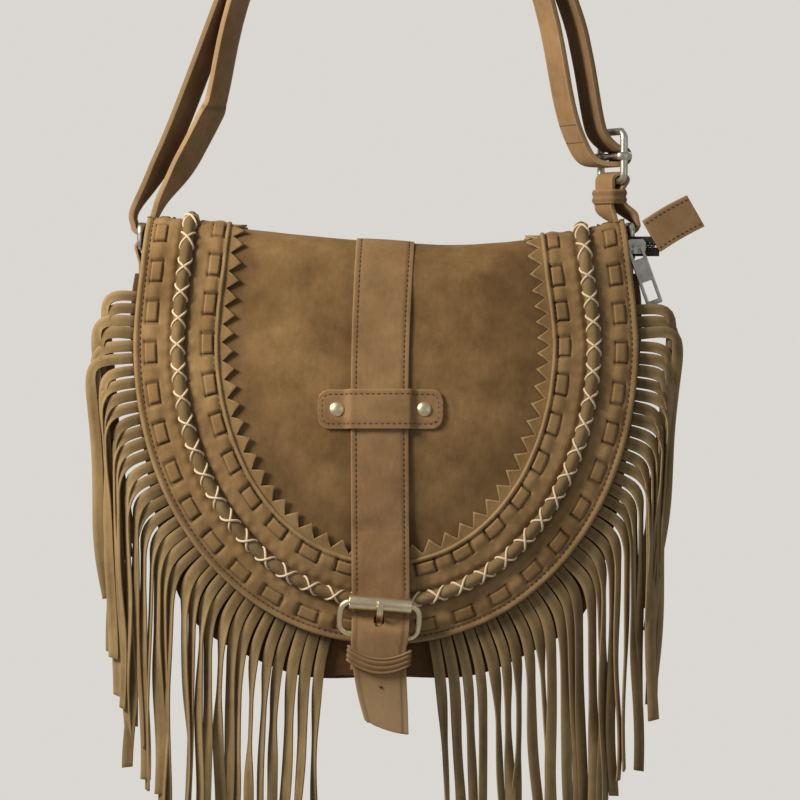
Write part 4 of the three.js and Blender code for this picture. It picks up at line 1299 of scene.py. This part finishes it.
def band_across(point):
    """The band's width direction: square to the view at the arch, turned along the hanging strands."""
    low = ease(HANG - 20 - point.z, 0, 120)
    if point.x > 0:
        angle = -SLIDE_TURN * low
    else:
        folded = 0 if is_outer(point) else 9 * ease(point.z, 82, 74)
        angle = (SLIDE_TURN + math.radians(1 + folded)) * low * ease(point.z, 8, 48)
    return Vector((math.sin(angle), math.cos(angle), 0))


# Painted shade on the two outer strands, whose faces turn towards the inner strands, and in the fold of the left
# inner strand. Near the rings and over the arch the band is darkened slightly.
def band_painted_shade(u, v):
    point = band_line[round(u * len(band_line)) % len(band_line)]
    if point.z < 20 or point.z > 380:
        return 0.1
    return 0.42 if is_outer(point) else 0.5 * bell(point.z - 78, 1.2) * (point.x < 0)


band = strip(band_line, BAND_WIDTH, across=[band_across(p) for p in band_line], columns=10, closed=True,
             painted_shade=band_painted_shade)
leather_strip("shoulder_band", band, bag_at, BAND_THICK, 0.7, replaces=("shoulder_strap",))
spots = []
for height in (66, 57):
    at = min((p for p in band_line if p.x > 90 and not is_outer(p)), key=lambda p: abs(p.z - height))
    across = band_across(at)
    along = (band_line[band_line.index(at) + 1] - at).normalized()
    out = across.cross(along).normalized()
    out = out if out.y < 0 else -out
    for k in range(7):
        centre = at + across * (k - 3) * 3.3 + out * (BAND_THICK / 2 + 0.05)
        spots.append((on_bag(centre), across, out))
stitch_row("shoulder_band_seam", spots, length=2.5, girth=0.8)

# ---- Slide buckle ----
# A rounded wire frame with a middle bar at the right: the shoulder strap goes round its middle bar, and
# the short strap holds its lower bar. The side bars carry a small boss where the middle bar is fixed.
slide_at = Matrix.Translation(bag_point(SLIDE_X, BAND_Y, SLIDE_Z)) @ Matrix.Rotation(SLIDE_TURN, 4, "Z")
points = [slide_at @ (Vector((0, y, z)) * MM) for y, z in wire_loop(30, 30, 4.5)]
tube("slide_frame", points, 2.3, dull_nickel, closed=True, sides=5, body="strap_buckle_body",
     replaces=("strap_buckle",))
points = [slide_at @ (Vector((0, y, 0)) * MM) for y in (-15, -5, 5, 15)]
tube("slide_middle_bar", points, 2.1, dull_nickel, sides=5, body="strap_buckle_body")
boss = smooth_line([(0, -2.5), (2.6, -2.4), (3.6, -1.4), (3.8, 0), (3.6, 1.4), (2.6, 2.4), (0, 2.5)], 3)
for name, y in (("slide_boss_front", -15), ("slide_boss_back", 15)):
    place = slide_at @ Matrix.Translation((0, y * MM, 0)) @ Matrix.Diagonal((1.3, 0.9, 1, 1))
    spun(name, boss, place, dull_nickel, body="strap_buckle_body", steps=28)

# ---- Short strap and its keeper ----
# A short folded leather from the slide buckle's lower bar to the right ring, with a narrow keeper round
# both its layers.
short_route = (
    arc((SLIDE_X, SLIDE_Z - 15), 4.5, 0, 180, 6)
    + [(134.6, 27), (133.9, 20), (136, 13)]
    + arc((RING_X, 6.1), 4.7, 225, 370, 6)
    + [(149, 13), (142, 19), (140, 26)]
)
short_line = [Vector((x, BAND_Y, z)) for x, z in smooth_line(short_route, 5, closed=True)]


def short_across(point):
    angle = -SLIDE_TURN * ease(point.z, 6, 15)
    return Vector((math.sin(angle), math.cos(angle), 0))


short = strip(short_line, 22, across=[short_across(p) for p in short_line], columns=8, closed=True)
leather_strip("short_strap_leather", short, bag_at, 2.2, 0.5, replaces=("short_strap",))
keeper_at = Matrix.Translation(bag_point(136.9, BAND_Y, 23.5)) @ Matrix.Rotation(SLIDE_TURN, 4, "Z")
loop = [Vector((x + 0.4, y, 0)) for x, y in wire_loop(11.0, 25.4, 2.6)]
keeper = strip(loop, 8.4, across=Vector((0, 0, 1)), columns=8, closed=True, ridges=2)
leather_strip("short_keeper_leather", keeper, keeper_at, 1.2, 0.3, replaces=("short_strap_keeper",))

# ---- Zip ----
# A metal zip along the bag's top: two woven dark tapes with small dark teeth. It runs out past the right
# side, where its slider rests and the tapes end in a leather tab.
ZIP_Y, ZIP_Z, ZIP_SLIT = -5.5, -7, 0.6
ZIP_LEFT, ZIP_RIGHT, TEETH = -138, 166, 124


def weave(tree):
    place = add_node(tree, "TexCoord").outputs["Object"]
    return add_node(tree, "TexWave", {"Scale": 420, "Vector": place}).outputs["Fac"]


zip_weave = add_texture_coat(
    "zip_tape_weave", weave, (0.020, 0.016, 0.013), (0.060, 0.048, 0.038), 0.9, bump=0.6,
)


def tape_sag(x):
    return max(0, fold_sag(x)) * (1 - ease(abs(x), 112, 124))


def zip_tape(name, profile, node):
    """One tape: a section in Y and Z carried along X. Only its sewing edge goes on under the flap."""
    line = smooth_line(profile, 4)
    first, last = profile[0][1], len(profile) - 1
    way = math.copysign(1, first - ZIP_Z)
    narrow = smooth_line([(ZIP_Y, first + way * 5.4 * k / last) for k in range(last + 1)], 4)

    def place(u, v):
        x = ZIP_LEFT + (ZIP_RIGHT - ZIP_LEFT) * u
        i = round(v * (len(line) - 1))
        full = 1 - ease(x, 134, 144)
        y, z = narrow[i].lerp(line[i], full)
        return bag_point(x, y, z - tape_sag(x))

    finish_piece(name, sheet_grid(152, len(line) - 1, place), zip_weave, thick=0.8, offset=0, replaces=(node,))


zip_tape("upper_tape", [(ZIP_Y, ZIP_Z + ZIP_SLIT), (ZIP_Y, ZIP_Z + 4.2), (-3.9, -1.4), (6, -0.6), (16, -4.2),
                        (21.5, -10), (22.8, -19), (22.8, -33)], "zip_tape_upper")
zip_tape("lower_tape", [(ZIP_Y, ZIP_Z - ZIP_SLIT), (ZIP_Y, -14), (ZIP_Y, -20), (ZIP_Y, -27), (ZIP_Y, -33)],
         "zip_tape_lower")
zip_teeth = build_metal("zip_teeth", (0.10, 0.09, 0.08), (0.05, 0.045, 0.04), 0.35, 0.2)
for name, side in (("upper_teeth", 1), ("lower_teeth", -1)):
    bm = bmesh.new()
    for k in range(TEETH):
        x = ZIP_LEFT + 4 + (ZIP_RIGHT - ZIP_LEFT - 6) * (k + 0.25 * (side + 1)) / TEETH
        size = Matrix.Diagonal((1.17 * MM, 2.6 * MM, 3.3 * MM, 1))
        spot = bag_point(x, ZIP_Y, ZIP_Z + side * 1.15 - tape_sag(x))
        bmesh.ops.create_cube(bm, size=1, matrix=Matrix.Translation(spot) @ size)
    bmesh.ops.bevel(bm, geom=bm.edges, offset=0.3 * MM, affect="EDGES", segments=1, profile=0.5, material=-1)
    finish_piece(name, bm, zip_teeth)

PULLER_LENGTH = 36
puller_at = Matrix.Translation(bag_point(151, -9.7, -8.4)) @ Matrix.Rotation(math.radians(-20), 4, "Y")


def puller_place(u, v):
    z = 0.8 - (PULLER_LENGTH + 0.8) * v
    half = 4.4 + 0.6 * ease(-z, -0.8, 8) - 0.6 * ease(-z, 34.5, 36.4) ** 2
    return Vector(((2 * u - 1) * half, 0, z))


puller = sheet_grid(20, 74, puller_place)
windows = [quad for quad in puller.faces for x, low, high in ((2.8, -6.7, -0.9), (2.9, -33.2, -21))
           if abs(quad.calc_center_median().x) < x and low < quad.calc_center_median().z < high]
bmesh.ops.delete(puller, geom=windows, context="FACES")
finish_piece("zip_pull", lay(puller, puller_at), dull_nickel, body="zip_puller_body", thick=1.6, offset=0,
             bevel=0.45, replaces=("zip_puller",))
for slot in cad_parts["zip_slider"].material_slots:
    slot.material = dull_nickel

# ---- Zip end tab ----
# A folded leather tab over the zip's end, tipped up to the right, stitched along its two long edges. Its
# front and back are a piece each.
TAB_TILT = math.radians(30)
end_at = Matrix.Translation(bag_point(161, ZIP_Y, -1)) @ Matrix.Rotation(-TAB_TILT, 4, "Y")
for name, y, node in (("end_tab_front", -1.55, ("zip_end_tab",)), ("end_tab_back", 1.55, ())):
    line = [Vector((x, y + 0.5 * math.copysign(1, y) * math.sin(x / 31 * math.pi), 0.7 * math.sin(x / 10)))
            for x in [31 * k / 24 for k in range(25)]]
    sheet = strip(line, 21.8, across=Vector((0, 0, 1)), columns=14)
    leather_strip(name, sheet, end_at, 1.5, 0.4, replaces=node)
end_turn = end_at.to_3x3()
spots = []
for side in (-1, 1):
    for k in range(10):
        x = 1.8 + 3.0 * k
        centre = Vector((x, -2.45 - 0.5 * math.sin(x / 31 * math.pi), side * 8.4 + 0.7 * math.sin(x / 10)))
        spots.append((end_at @ (centre * MM), end_turn @ Vector((1, 0, 0)), end_turn @ Vector((0, -1, 0))))
stitch_row("end_tab_stitches", spots, length=2.1)
